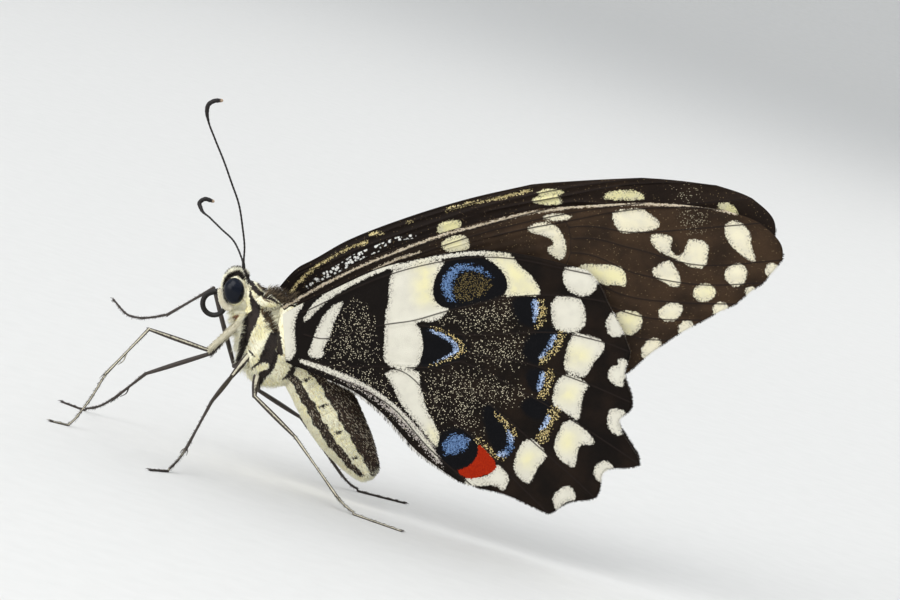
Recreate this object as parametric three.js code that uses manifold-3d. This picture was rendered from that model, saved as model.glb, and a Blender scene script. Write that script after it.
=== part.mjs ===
// A citrus swallowtail butterfly, life size, standing with its wings closed over its back.
//
// Millimetres, +Z up, head towards -X, left side towards -Y. The origin is on the floor, under the middle
// of the insect's box. The body is first described in its own frame, whose origin is the root of the
// forewings and whose X runs back along the wings: it is then pitched up and set at standing height.
import * as THREE from "three";
import { mergeVertices } from "three/addons/utils/BufferGeometryUtils.js";
import Module from "manifold-3d";

const wasm = await Module();
wasm.setup();

// ---- Driving sizes ---------------------------------------------------------------------------------
const PITCH = (17 * Math.PI) / 180; // the wings' line against the floor
const ROOT_HEIGHT = 17.6; // forewing root above the floor
const CENTRE = { u: 13.6, y: -2.7 }; // middle of the standing insect's box, from the forewing root
const GAP = 0.3; // clear space between neighbouring pieces

const MEMBRANE = 0.5; // wing thickness
const RIDGE = 0.15; // height of a vein above the membrane
const RIDGE_HALF = 0.32; // half the width of a vein's foot
const ROWS = 13; // steps along a wing vein, root to margin
const HINGE_SWELL = 0.1; // added half thickness at a wing's hinge
const HINGE_REACH = 0.62; // how far the hindwing's hinge reaches further in, to meet the thorax

// Distance of a wing from the middle plane: at its root, and at rest beyond the body.
const FOREWING = { rest: 0.6, root: 2.85, from: 2.3, to: 8.2, reach: 0 };
const HINDWING = { rest: 1.78, root: 4.25, from: 2.2, to: 8.8, reach: HINGE_REACH };
// How far a forewing is held forward of the drawn lines, in x and z: growing from row `start`, and in full
// from row `full`. The start lies before the root, so that the root too is moved a little.
const ADVANCE = { left: [0, 0], right: [-0.7, 2.35], start: -2, full: 1.6 };

const EYE = { at: [-4.83, 1.22, 1.0], half: [1.05, 0.82, 1.32] };
const HEAD = { at: [-4.6, 0, 1.05], half: [1.5, 1.45, 2.15] };
const PALP = {
  points: [[-5.75, 0.85, -0.6], [-6.05, 0.92, -0.15], [-6.22, 0.92, 0.4], [-6.32, 0.84, 0.95]],
  stem: 0.38,
  tip: 0.3,
};
const COIL = { at: [-6.93, -0.43], from: 0.56, outer: 1.2, inner: 1.15, tube: 0.27, turns: 0.78 };
const ANTENNA_RADIUS = 0.25;
const CLUB_RADIUS = 0.34;
const [CLUB_FROM, CLUB_FULL] = [0.78, 0.88]; // shares of the antenna's length where the club swells

// ---- Closed shapes ---------------------------------------------------------------------------------
// A closed geometry from points and triangles, turned inside out where its volume is negative.
function closed(points, triangles) {
  let volume = 0;
  for (const [a, b, c] of triangles) volume += points[a].dot(points[b].clone().cross(points[c]));
  const faces = volume < 0 ? triangles.map(([a, b, c]) => [a, c, b]) : triangles;
  return new THREE.BufferGeometry().setFromPoints(points).setIndex(faces.flat());
}

// Rings of equal count joined in order, each end drawn together at a pole.
function skin(rings, startPole, endPole) {
  const sides = rings[0].length;
  const points = [...rings.flat(), startPole, endPole];
  const start = points.length - 2;
  const triangles = [];
  for (let i = 0; i < sides; i++) {
    const j = (i + 1) % sides;
    triangles.push([start, j, i]);
    for (let r = 0; r + 1 < rings.length; r++) {
      const [a, b, c, d] = [r * sides + i, r * sides + j, (r + 1) * sides + i, (r + 1) * sides + j];
      triangles.push([a, b, d], [a, d, c]);
    }
    const last = (rings.length - 1) * sides;
    triangles.push([start + 1, last + i, last + j]);
  }
  return closed(points, triangles);
}

// A body section lofted through stations { at: [x, z], up, down, wide }, each square to the line through
// its neighbours. `grow` makes it larger all round, to cut a neighbour clear of it.
function trunk(stations, sides, grow = 0) {
  const at = stations.map((s) => new THREE.Vector3(s.at[0], 0, s.at[1]));
  const along = at.map((p, i) =>
    at[Math.min(i + 1, at.length - 1)].clone().sub(at[Math.max(i - 1, 0)]).normalize(),
  );
  at[0].addScaledVector(along[0], -grow);
  at.at(-1).addScaledVector(along.at(-1), grow);
  const rings = stations.map((s, i) => {
    const back = new THREE.Vector3(-along[i].z, 0, along[i].x); // towards the insect's back
    return Array.from({ length: sides }, (_, k) => {
      const a = (2 * Math.PI * k) / sides;
      const rise = Math.cos(a) * ((Math.cos(a) > 0 ? s.up : s.down) + grow);
      return at[i].clone().addScaledVector(back, rise).setY(Math.sin(a) * (s.wide + grow));
    });
  });
  const nose = at[0].clone().addScaledVector(along[0], -(0.35 * stations[0].up + grow));
  const tail = at.at(-1).clone().addScaledVector(along.at(-1), 0.35 * stations.at(-1).up + grow);
  return skin(rings, nose, tail);
}

function ellipsoid({ at, half }, side = 1, grow = 0, across = 14, down = 9) {
  const ball = new THREE.SphereGeometry(1, across, down);
  ball.scale(half[0] + grow, half[1] + grow, half[2] + grow);
  return ball.translate(at[0], side * at[1], at[2]);
}

// A round-ended rod along a smooth curve through the points; radius(t) for t from 0 to 1.
function rod(points, radius, steps, sides) {
  const curve = new THREE.CatmullRomCurve3(points, false, "centripetal");
  const { normals, binormals, tangents } = curve.computeFrenetFrames(steps);
  const ring = (i, shift, r) =>
    Array.from({ length: sides }, (_, k) => {
      const a = (2 * Math.PI * k) / sides;
      return curve
        .getPointAt(i / steps)
        .addScaledVector(tangents[i], shift)
        .addScaledVector(normals[i], r * Math.cos(a))
        .addScaledVector(binormals[i], r * Math.sin(a));
    });
  const [first, last] = [radius(0), radius(1)];
  const rings = [ring(0, -0.7 * first, 0.71 * first)];
  for (let i = 0; i <= steps; i++) rings.push(ring(i, 0, radius(i / steps)));
  rings.push(ring(steps, 0.7 * last, 0.71 * last));
  const pole = (i, shift) => curve.getPointAt(i / steps).addScaledVector(tangents[i], shift);
  return skin(rings, pole(0, -first), pole(steps, last));
}

// ---- Cutting pieces clear of each other -------------------------------------------------------------
function solid(geometry) {
  const bare = geometry.clone();
  for (const name of ["normal", "uv"]) bare.deleteAttribute(name);
  const welded = mergeVertices(bare, 1e-4);
  return new wasm.Manifold(
    new wasm.Mesh({
      numProp: 3,
      vertProperties: new Float32Array(welded.attributes.position.array),
      triVerts: new Uint32Array(welded.index.array),
    }),
  );
}

// The geometry less its neighbours, of which only the largest closed surface is kept.
function clearOf(geometry, ...neighbours) {
  const cut = neighbours.reduce((left, n) => left.subtract(solid(n)), solid(geometry));
  const kept = cut.decompose().sort((a, b) => b.volume() - a.volume())[0];
  const { vertProperties, triVerts } = kept.getMesh();
  return new THREE.BufferGeometry()
    .setAttribute("position", new THREE.BufferAttribute(vertProperties, 3))
    .setIndex(new THREE.BufferAttribute(triVerts, 1));
}

// ---- Wings -------------------------------------------------------------------------------------------
// Distance behind the body's long axis, towards the back, of a point of the wing plane.
const AXIS = { at: [-2.0, -1.3], back: [0.85, 0.53] };
const beyondBody = (x, z) => (x - AXIS.at[0]) * AXIS.back[0] + (z - AXIS.at[1]) * AXIS.back[1];

// A smooth curve through knots [row, x, z], carried on straight past its last knot.
function veinCurve(knots) {
  const slope = knots.map((_, i) => {
    const [p, q] = [knots[Math.max(i - 1, 0)], knots[Math.min(i + 1, knots.length - 1)]];
    return [1, 2].map((k) => (q[k] - p[k]) / (q[0] - p[0]));
  });
  return (row) => {
    const end = knots.at(-1);
    if (row > end[0]) return [1, 2].map((k) => end[k] + slope.at(-1)[k - 1] * (row - end[0]));
    let i = knots.findIndex((knot) => knot[0] >= row);
    i = Math.max(i, 1);
    const [p, q] = [knots[i - 1], knots[i]];
    const span = q[0] - p[0];
    const t = (row - p[0]) / span;
    return [1, 2].map((k) => {
      const [m, n] = [slope[i - 1][k - 1] * span, slope[i][k - 1] * span];
      return (
        (2 * t ** 3 - 3 * t ** 2 + 1) * p[k] +
        (t ** 3 - 2 * t ** 2 + t) * m +
        (3 * t ** 2 - 2 * t ** 3) * q[k] +
        (t ** 3 - t ** 2) * n
      );
    });
  };
}

// Each line runs from the hinge to the margin as knots [row, x, z]. `from` is the row where the vein
// starts, after it has left its stem; an edge has none. `space` describes the membrane behind the line:
// how many columns it gets, and how deep the margin is notched (or, below zero, bulges) between its veins.
const FOREWING_LINES = [
  { name: "costa", knots: [[2, 3.4, 1.45], [4, 7.2, 3.6], [7, 13.0, 5.85], [10, 19.2, 7.75],
    [13, 25.5, 9.2]], space: [0, 0] },
  { name: "Sc", from: 1, knots: [[2, 3.6, 1.05], [4, 7.6, 3.15], [7, 14.0, 5.65], [10, 20.5, 7.6],
    [13, 27.0, 9.35]], space: [0, -0.008] },
  { name: "R1", from: 1, knots: [[2, 3.9, 0.75], [4, 8.3, 2.75], [7, 16.0, 5.5], [9, 21.5, 7.2],
    [11, 29.0, 8.85], [13, 36.5, 9.88]], space: [1, -0.012] },
  { name: "R4", from: 5, knots: [[2, 4.2, 0.4], [4, 13.0, 3.85], [5, 20.8, 6.4], [7, 28.3, 7.95],
    [9, 34.5, 9.1], [11, 39.5, 9.4], [13, 44.0, 9.13]], space: [1, -0.008] },
  { name: "R5", from: 7, knots: [[2, 4.4, 0.1], [4, 13.4, 3.4], [7, 28.6, 7.35], [9, 35.2, 6.85],
    [11, 41.8, 7.3], [13, 47.6, 7.8]], space: [2, -0.018] },
  { name: "M1", from: 7, knots: [[2, 4.5, -0.15], [4, 13.4, 2.8], [7, 28.8, 6.2], [9, 35.0, 5.25],
    [11, 41.6, 3.6], [13, 49.8, 4.1]], space: [1, 0] },
  { name: "M2", from: 7, knots: [[2, 4.6, -0.4], [4, 13.3, 2.1], [7, 28.8, 4.8], [9, 35.3, 2.75],
    [11, 41.5, 1.65], [13, 47.9, 1.8]], space: [1, 0.004] },
  { name: "M3", from: 6, knots: [[2, 4.6, -0.65], [4, 13.1, 1.55], [6, 24.3, 3.0], [7, 28.2, 3.25],
    [9, 34.0, 0.6], [11, 39.5, -0.15], [13, 45.2, -0.3]], space: [1, 0.004] },
  { name: "Cu1", from: 5, knots: [[2, 4.6, -0.9], [4, 13.0, 1.2], [5, 17.9, 1.9], [7, 24.0, 2.5],
    [9, 29.8, 0.5], [11, 36.0, -1.6], [13, 42.0, -1.95]], space: [1, 0.004] },
  { name: "Cu2", from: 1, knots: [[2, 4.5, -1.2], [4, 11.4, 0.4], [6, 17.7, 1.45], [8, 23.8, 0.4],
    [10, 29.8, -1.9], [12, 35.4, -3.7], [13, 38.5, -3.97]], space: [2, 0.004] },
  { name: "2A", from: 1, knots: [[2, 4.3, -1.8], [5, 11.8, -2.5], [9, 23.0, -4.5], [13, 35.0, -6.75]],
    space: [0, 0] },
  { name: "inner margin", knots: [[2, 4.1, -2.5], [5, 11.6, -3.9], [9, 22.6, -5.6], [13, 34.2, -7.4]] },
];
const FOREWING_HINGE = [[-0.1, -0.3], [1.4, -2.0]];
const FOREWING_CELL = { row: 7, first: "R4", last: "M3" };

const HINDWING_LINES = [
  { name: "costa", knots: [[1, 1.9, -0.1], [2, 4.6, 1.0], [4, 9.6, 3.25], [6, 14.5, 4.5], [8, 19.4, 5.25],
    [10, 24.0, 4.75], [12, 28.0, 3.85], [13, 30.1, 3.25]], space: [0, 0] },
  { name: "Sc", from: 1, knots: [[1, 2.1, -0.9], [2, 4.7, 0.2], [4, 9.8, 2.4], [6, 14.5, 3.75],
    [8, 19.2, 4.45], [10, 23.6, 4.25], [12, 28.2, 3.3], [13, 30.8, 2.75]], space: [2, -0.008] },
  { name: "Rs", from: 1, knots: [[1, 2.3, -3.0], [2, 4.7, -3.5], [4, 10.2, -2.3], [5, 13.2, -1.85],
    [6, 16.5, -0.9], [8, 22.5, 0.4], [10, 27.0, 0.7], [12, 30.7, 0.3], [13, 32.4, 0.0]],
    space: [2, -0.006] },
  { name: "M1", from: 5, knots: [[2, 5.0, -4.0], [4, 10.5, -2.85], [5, 13.5, -2.35], [7, 18.2, -3.3],
    [10, 27.0, -3.05], [12, 32.0, -4.0], [13, 34.7, -5.0]], space: [2, 0.02] },
  { name: "M2", from: 7, knots: [[2, 5.1, -4.75], [5, 13.0, -4.5], [7, 18.7, -5.2], [9, 24.5, -6.2],
    [11, 30.0, -8.0], [13, 34.9, -10.1]], space: [2, 0.05] },
  { name: "M3", from: 6, knots: [[2, 5.0, -5.35], [5, 12.6, -6.1], [6, 16.0, -6.35], [7, 18.1, -6.1],
    [9, 24.0, -9.0], [11, 29.8, -12.4], [13, 35.7, -16.3]], space: [2, 0.04] },
  { name: "Cu1", from: 5, knots: [[2, 5.0, -5.75], [4, 10.3, -6.35], [5, 12.4, -6.6], [6, 15.7, -6.8],
    [8, 20.5, -10.1], [10, 25.2, -14.2], [12, 29.2, -17.8], [13, 31.2, -19.7]], space: [2, 0.014] },
  { name: "Cu2", from: 1, knots: [[2, 4.9, -6.2], [5, 12.0, -7.0], [7, 16.0, -11.0], [9, 19.7, -14.2],
    [11, 23.0, -17.7], [13, 26.6, -21.3]], space: [2, 0.032] },
  { name: "2A", from: 1, knots: [[2, 4.7, -7.0], [4, 7.6, -8.35], [6, 11.0, -10.5], [9, 14.6, -14.6],
    [13, 18.9, -18.45]], space: [0, 0] },
  { name: "inner margin", knots: [[2, 4.4, -7.4], [4, 7.3, -8.8], [6, 10.0, -11.0], [9, 13.5, -14.9],
    [13, 17.5, -18.0]] },
];
const HINDWING_HINGE = [[0.2, -1.0], [0.5, -5.8]];
const HINDWING_CELL = { row: 7, first: "M1", last: "M3" };

// The wing as one closed plate: a grid of columns along and between the lines, alike on both faces, with
// the columns of the veins raised, and the end of the cell raised across them.
function wing(lines, hingeLine, cell, rise, side, advance) {
  // Columns as { line, f }: f is the way from this line to the next.
  const columns = [];
  lines.forEach((line, i) => {
    columns.push({ i, f: 0, crest: line.from !== undefined });
    if (i + 1 === lines.length) return;
    columns.push({ i, foot: line.from !== undefined ? "near" : null, f: 0.33 });
    for (let k = 1; k <= line.space[0]; k++) columns.push({ i, f: k / (line.space[0] + 1) });
    if (lines[i + 1].from !== undefined) columns.push({ i, foot: "far", f: 0.67 });
  });
  const curves = lines.map((line, i) => {
    const share = i / (lines.length - 1);
    const root = [0, 1].map((k) => hingeLine[0][k] + share * (hingeLine[1][k] - hingeLine[0][k]));
    return veinCurve([[0, ...root], ...line.knots]);
  });
  const first = lines.findIndex((line) => line.name === cell.first);
  const last = lines.findIndex((line) => line.name === cell.last);

  const [outer, inner] = [[], []];
  for (let row = 0; row <= ROWS; row++) {
    for (const { i, f, foot, crest } of columns) {
      let share = f;
      const here = curves[i](row);
      if (foot) {
        const from = foot === "near" ? i : i + 1;
        const [a, b] = [curves[from](Math.max(row - 0.5, 0)), curves[from](Math.max(row - 0.5, 0) + 0.5)];
        const [p, q] = [curves[i](row), curves[i + 1](row)];
        const run = Math.hypot(b[0] - a[0], b[1] - a[1]);
        const across = Math.abs((b[0] - a[0]) * (q[1] - p[1]) - (b[1] - a[1]) * (q[0] - p[0])) / run;
        const step = Math.min(RIDGE_HALF / across, 0.33);
        share = foot === "near" ? step : 1 - step;
      }
      let [x, z] = here;
      if (share > 0) {
        const notch = lines[i].space[1] * Math.sin(Math.PI * share) ** 2 * (row / ROWS) ** 6;
        const [p, q] = [curves[i](row * (1 - notch)), curves[i + 1](row * (1 - notch))];
        [x, z] = [p[0] + share * (q[0] - p[0]), p[1] + share * (q[1] - p[1])];
      }
      const onVein = crest && row >= lines[i].from;
      const onCell = row === cell.row && i >= first && (i < last || (i === last && f === 0));
      const hinge = Math.max(0, 1 - row / 2);
      const half = MEMBRANE / 2 + (onVein || onCell ? RIDGE : 0) + HINGE_SWELL * hinge;
      const reach = rise.reach * hinge * THREE.MathUtils.smoothstep(-z, 2, 3.4);
      const t = THREE.MathUtils.smoothstep(beyondBody(x, z), rise.from, rise.to);
      const mid = rise.root + (rise.rest - rise.root) * t;
      const moved = THREE.MathUtils.smoothstep(row, ADVANCE.start, ADVANCE.full);
      x += moved * advance[0];
      z += moved * advance[1];
      outer.push(new THREE.Vector3(x, side * (mid + half), z));
      inner.push(new THREE.Vector3(x, side * (mid - half - reach), z));
    }
  }
  const n = columns.length;
  const under = outer.length;
  const triangles = [];
  for (let row = 0; row < ROWS; row++) {
    for (let c = 0; c + 1 < n; c++) {
      const [a, b, d, e] = [row * n + c, row * n + c + 1, (row + 1) * n + c, (row + 1) * n + c + 1];
      for (const [p, q, r] of [[a, b, e], [a, e, d]]) {
        triangles.push([p, q, r], [under + p, under + r, under + q]);
      }
    }
  }
  const rim = (path) => {
    for (let k = 0; k + 1 < path.length; k++) {
      const [p, q] = [path[k], path[k + 1]];
      triangles.push([q, p, under + p], [q, under + p, under + q]);
    }
  };
  const count = (length, at) => Array.from({ length }, (_, k) => at(k));
  rim(count(n, (k) => k));
  rim(count(ROWS + 1, (k) => k * n + n - 1));
  rim(count(n, (k) => ROWS * n + n - 1 - k));
  rim(count(ROWS + 1, (k) => (ROWS - k) * n));
  return closed([...outer, ...inner], triangles);
}

// ---- Trunk of the body -------------------------------------------------------------------------------
const THORAX = [
  { at: [-2.9, -0.1], up: 1.4, down: 1.6, wide: 1.5 },
  { at: [-2.55, -0.75], up: 2.2, down: 2.4, wide: 2.2 },
  { at: [-1.95, -1.7], up: 2.95, down: 3.2, wide: 2.7 },
  { at: [-1.2, -3.1], up: 3.65, down: 4.0, wide: 3.0 },
  { at: [-0.4, -4.5], up: 3.8, down: 4.5, wide: 3.0 },
  { at: [0.5, -5.9], up: 3.4, down: 4.4, wide: 2.8 },
  { at: [1.2, -6.8], up: 2.7, down: 3.1, wide: 2.3 },
  { at: [1.7, -7.4], up: 1.9, down: 1.6, wide: 1.7 },
];
const PROTHORAX = [
  { at: [-4.2, 0.95], up: 1.0, down: 1.1, wide: 1.0 },
  { at: [-3.8, 0.75], up: 1.55, down: 1.6, wide: 1.55 },
  { at: [-3.2, 0.25], up: 1.75, down: 1.9, wide: 1.75 },
  { at: [-2.8, -0.2], up: 1.5, down: 1.7, wide: 1.55 },
];
const BELLY_LINE = new THREE.CatmullRomCurve3(
  [[1.7, -6.9], [3.0, -8.6], [4.2, -10.6], [5.4, -12.8], [6.6, -14.7], [7.7, -16.4], [8.6, -17.65]].map(
    ([x, z]) => new THREE.Vector3(x, 0, z),
  ),
);
const SEGMENTS = 8;

// The abdomen: full in the middle, tapering at both ends, each segment's rim standing a little proud.
function abdomenStations() {
  const stations = [];
  for (let k = 0; k <= 2 * SEGMENTS; k++) {
    const t = k / (2 * SEGMENTS);
    const p = BELLY_LINE.getPointAt(t);
    const full = Math.sin(Math.PI * (0.13 + 0.805 * t) ** 0.88) ** 0.55;
    const rim = k % 2 ? 1.0 : 0.965;
    const girth = full * rim;
    stations.push({ at: [p.x, p.z], up: 3.15 * girth, down: 2.85 * girth, wide: 2.8 * girth });
  }
  return stations;
}

// ---- Legs --------------------------------------------------------------------------------------------
const SOLE = 0.2; // height of a foot's centre line over the floor
const RADII = { coxa: [0.62, 0.5], femur: [0.42, 0.36], tibia: [0.3, 0.28], tarsus: [0.27, 0.25] };

// Joints run from the body to the ankle, and the tarsus from there to the toe, from under the forewing root
// along the floor.
const LEGS = {
  fore_left: { joints: [[-3.6, -1.2, 13.9], [-5.6, -2.2, 10.8], [-11.8, -4.3, 11.35], [-14.55, -5.5, 6.0]],
    tarsus: [[-15.6, -6.0, 2.3], [-16.7, -6.5, SOLE], [-18.3, -7.2, SOLE]] },
  fore_right: { joints: [[-3.6, 1.2, 13.9], [-5.5, 2.2, 10.0], [-11.3, 4.3, 5.8], [-13.7, 5.5, 2.3]],
    tarsus: [[-15.1, 6.0, 0.9], [-16.6, 6.5, SOLE], [-18.8, 7.4, SOLE]] },
  mid_left: { joints: [[-2.0, -1.7, 10.6], [-2.6, -2.75, 9.1], [-3.6, -8.2, 6.8], [-4.45, -13.8, 2.3]],
    tarsus: [[-4.9, -15.0, 1.1], [-5.5, -16.3, SOLE], [-7.0, -18.6, SOLE]] },
  mid_right: { joints: [[-2.0, 1.7, 10.6], [-2.9, 2.8, 9.4], [-7.2, 4.2, 16.2], [-11.15, 9.4, 11.6]],
    tarsus: [[-12.5, 10.4, 10.8], [-13.8, 11.4, 10.2], [-15.2, 12.3, 10.0], [-17.1, 13.3, 10.9]] },
  hind_left: { joints: [[-0.2, -1.5, 9.1], [0.1, -2.6, 7.8], [5.3, -5.9, 5.5], [11.0, -7.2, 1.2]],
    tarsus: [[12.3, -7.5, 0.5], [13.8, -7.9, SOLE], [18.0, -9.0, SOLE]] },
  hind_right: { joints: [[-0.2, 1.5, 9.1], [0.1, 2.6, 7.8], [5.0, 6.1, 5.9], [10.6, 7.6, 1.3]],
    tarsus: [[11.9, 8.0, 0.5], [13.4, 8.4, SOLE], [17.6, 9.8, SOLE]] },
};
const FLOOR_BLOCK = new THREE.BoxGeometry(200, 200, 20).translate(0, 0, -10);

// How far a segment's end stays back from a joint, so that its round end keeps the gap to the next one's.
function setBack(before, joint, after, radius) {
  const bend = before.clone().sub(joint).angleTo(after.clone().sub(joint));
  return (radius + GAP / 2) / Math.sin(Math.max(bend, 0.6) / 2);
}

function shortened(points, fromStart, fromEnd) {
  const made = points.map((p) => p.clone());
  const pull = (p, towards, by) => p.add(towards.clone().sub(p).setLength(by));
  pull(made[0], points[1], fromStart);
  pull(made.at(-1), points.at(-2), fromEnd);
  return made;
}

function leg({ joints, tarsus }, thorax) {
  const at = joints.map((p) => new THREE.Vector3(...p));
  const toe = tarsus.map((p) => new THREE.Vector3(...p));
  const parts = {};
  ["coxa", "femur", "tibia"].forEach((name, i) => {
    const [r0, r1] = RADII[name];
    const [p, q] = [at[i], at[i + 1]];
    const before = i ? setBack(at[i - 1], p, q, r0) : 0;
    const after = setBack(p, q, at[i + 2] ?? toe[0], r1);
    const bulge = (t) => r0 + (r1 - r0) * t + 0.06 * Math.sin(Math.PI * t);
    parts[name] = rod(shortened([p, q], before, after), bulge, 3, 8);
  });
  parts.coxa = clearOf(parts.coxa, ...thorax);
  const ankle = setBack(at[2], at[3], toe[0], RADII.tarsus[0]);
  const [r0, r1] = RADII.tarsus;
  const foot = rod(shortened([at[3], ...toe], ankle, 0), (t) => r0 + (r1 - r0) * t, 7, 8);
  parts.tarsus = clearOf(foot, FLOOR_BLOCK);
  return parts;
}

// ---- The insect --------------------------------------------------------------------------------------
const finish = (color, roughness) => new THREE.MeshStandardMaterial({ color, roughness, metalness: 0 });
const MATERIALS = {
  wing: finish(0x3b2d22, 0.75),
  body: finish(0xd9d2b0, 0.85),
  dark: finish(0x1d1713, 0.6),
  eye: finish(0x0c0d12, 0.15),
};

const insect = new THREE.Group();
insect.position.set(-CENTRE.u, -CENTRE.y, 0);
const raised = new THREE.Group(); // the body frame, pitched and lifted
raised.rotation.y = -PITCH;
raised.position.z = ROOT_HEIGHT;
insect.add(raised);

function add(group, name, geometry, material) {
  const mesh = new THREE.Mesh(geometry, MATERIALS[material]);
  mesh.name = name;
  group.add(mesh);
  return mesh;
}

const SIDES = { left: -1, right: 1 };
const thoraxRoom = trunk(THORAX, 20, GAP);
const collarRoom = trunk(PROTHORAX, 16, GAP);
const headRoom = ellipsoid(HEAD, 1, GAP);
const eyeRooms = Object.values(SIDES).map((side) => ellipsoid(EYE, side, GAP));

add(raised, "thorax", trunk(THORAX, 20), "body");
add(raised, "prothorax", clearOf(trunk(PROTHORAX, 16), thoraxRoom, ...eyeRooms), "body");
add(raised, "head", clearOf(ellipsoid(HEAD), collarRoom, ...eyeRooms), "body");
add(raised, "abdomen", clearOf(trunk(abdomenStations(), 18), thoraxRoom), "body");

for (const [word, side] of Object.entries(SIDES)) {
  add(raised, `eye_${word}`, ellipsoid(EYE, side, 0, 16, 10), "eye");

  // The palps rise in front of the face, one beside the other.
  const palpLine = PALP.points.map(([x, y, z]) => new THREE.Vector3(x, side * y, z));
  const plump = (t) => PALP.stem + (PALP.tip - PALP.stem) * t;
  const palp = clearOf(rod(palpLine, plump, 6, 8), headRoom, collarRoom, ...eyeRooms);
  add(raised, `palp_${word}`, palp, "body");

  // The antennae: a thin shaft that thickens into a hooked club.
  const shaft = {
    left: [[-3.95, -0.45, 3.35], [-3.8, -0.75, 5.4], [-3.95, -1.1, 7.3], [-4.3, -1.6, 9.8],
      [-4.95, -2.2, 11.9], [-5.65, -2.8, 14.1], [-6.5, -3.4, 16.4], [-7.1, -3.8, 18.2], [-7.2, -3.9, 19.1],
      [-7.05, -3.95, 19.85], [-6.5, -3.95, 20.15], [-5.8, -3.95, 20.2]],
    right: [[-3.95, 0.45, 3.3], [-4.3, 1.0, 4.3], [-5.0, 2.2, 5.55], [-6.5, 4.2, 6.75], [-7.75, 6.0, 7.7],
      [-8.8, 7.5, 8.55], [-8.96, 7.8, 9.1], [-8.5, 7.9, 9.45], [-7.6, 7.9, 9.25]],
  }[word].map((p) => new THREE.Vector3(...p));
  const thicker = CLUB_RADIUS - ANTENNA_RADIUS;
  const swell = (t) => ANTENNA_RADIUS + thicker * THREE.MathUtils.smoothstep(t, CLUB_FROM, CLUB_FULL);
  add(raised, `antenna_${word}`, clearOf(rod(shaft, swell, 26, 7), headRoom), "dark");
}

// The proboscis, coiled like a watch spring under the face, seen in outline from the side.
function coil() {
  const points = [new THREE.Vector3(-5.7, 0, 0.9), new THREE.Vector3(-6.35, 0, 0.8)];
  const steps = 22;
  for (let k = 0; k <= steps; k++) {
    const turn = (k / steps) * COIL.turns;
    const a = Math.PI * (COIL.from + 2 * turn);
    const r = COIL.outer + ((COIL.inner - COIL.outer) * k) / steps;
    points.push(new THREE.Vector3(COIL.at[0] + r * Math.cos(a), 0, COIL.at[1] + r * Math.sin(a)));
  }
  return points;
}
add(raised, "proboscis", clearOf(rod(coil(), () => COIL.tube, 34, 6), headRoom), "dark");

// The wings. Both forewings lie between the hindwings, the right one held a little further forward.
for (const [word, side] of Object.entries(SIDES)) {
  const fore = wing(FOREWING_LINES, FOREWING_HINGE, FOREWING_CELL, FOREWING, side, ADVANCE[word]);
  const hind = wing(HINDWING_LINES, HINDWING_HINGE, HINDWING_CELL, HINDWING, side, [0, 0]);
  add(raised, `forewing_${word}`, fore, "wing");
  add(raised, `hindwing_${word}`, hind, "wing");
}

// The legs stand in the floor's frame; the body's rooms are brought there to cut the coxae clear.
const toFloor = new THREE.Matrix4().makeTranslation(0, 0, ROOT_HEIGHT);
toFloor.multiply(new THREE.Matrix4().makeRotationY(-PITCH));
const rooms = [thoraxRoom, collarRoom].map((room) => room.clone().applyMatrix4(toFloor));
for (const [word, shape] of Object.entries(LEGS)) {
  for (const [part, geometry] of Object.entries(leg(shape, rooms))) {
    add(insect, `${part}_${word}`, geometry, "dark");
  }
}

export default insect;
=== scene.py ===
"""A citrus swallowtail butterfly at life size, standing with its wings closed over its back.

Shapes are worked out in millimetres in the body's own frame: from the root of the forewings, x back along
the wings, y to the right side, z up. placed() pitches and lifts them on to the floor, in metres.
"""

import bpy
import numpy as np
from mathutils import Matrix


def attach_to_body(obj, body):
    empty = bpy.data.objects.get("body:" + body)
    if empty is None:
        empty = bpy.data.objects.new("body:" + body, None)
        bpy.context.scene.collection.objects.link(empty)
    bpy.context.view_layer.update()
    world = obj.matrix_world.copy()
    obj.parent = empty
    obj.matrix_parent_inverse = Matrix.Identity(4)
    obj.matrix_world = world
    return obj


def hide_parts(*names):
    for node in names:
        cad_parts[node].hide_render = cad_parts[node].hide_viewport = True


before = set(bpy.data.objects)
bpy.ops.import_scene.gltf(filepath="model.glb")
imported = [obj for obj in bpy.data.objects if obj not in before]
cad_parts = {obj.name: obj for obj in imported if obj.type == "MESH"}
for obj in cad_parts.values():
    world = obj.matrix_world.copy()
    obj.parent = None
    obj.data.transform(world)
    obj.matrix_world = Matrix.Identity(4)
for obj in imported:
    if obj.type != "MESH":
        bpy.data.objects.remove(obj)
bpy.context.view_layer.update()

# ---- Floor --------------------------------------------------------------------------------------------
# A round board of matt pale card that sweeps up all round into a wall, so that no edge or horizon shows.
# It is only the stage that the insect stands on.
MM = 0.001
FLOOR_FLAT, FLOOR_CURVE, FLOOR_WALL = 1.3, 0.8, 0.15


def make(name, points, faces, material, attributes=None):
    """A smooth-shaded mesh object from points in metres and arrays of faces. Attributes are one number a
    point."""
    mesh = bpy.data.meshes.new(name)
    rows = [row for block in faces for row in np.asarray(block).tolist()]
    mesh.from_pydata(np.asarray(points, float).tolist(), [], rows)
    for key, values in (attributes or {}).items():
        layer = mesh.attributes.new(key, "FLOAT", "POINT")
        layer.data.foreach_set("value", np.ascontiguousarray(values, np.float32))
    mesh.materials.append(material)
    mesh.shade_smooth()
    piece = bpy.data.objects.new(name, mesh)
    bpy.context.scene.collection.objects.link(piece)
    return piece


def quads(rows, cols, wrap=False):
    """Four-cornered faces over a grid of points held row by row; wrap joins the last column to the first."""
    r = np.arange(rows - 1)[:, None]
    c = np.arange(cols if wrap else cols - 1)[None]
    d = (c + 1) % cols
    return np.stack([r * cols + c, r * cols + d, (r + 1) * cols + d, (r + 1) * cols + c], -1).reshape(-1, 4)


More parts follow.
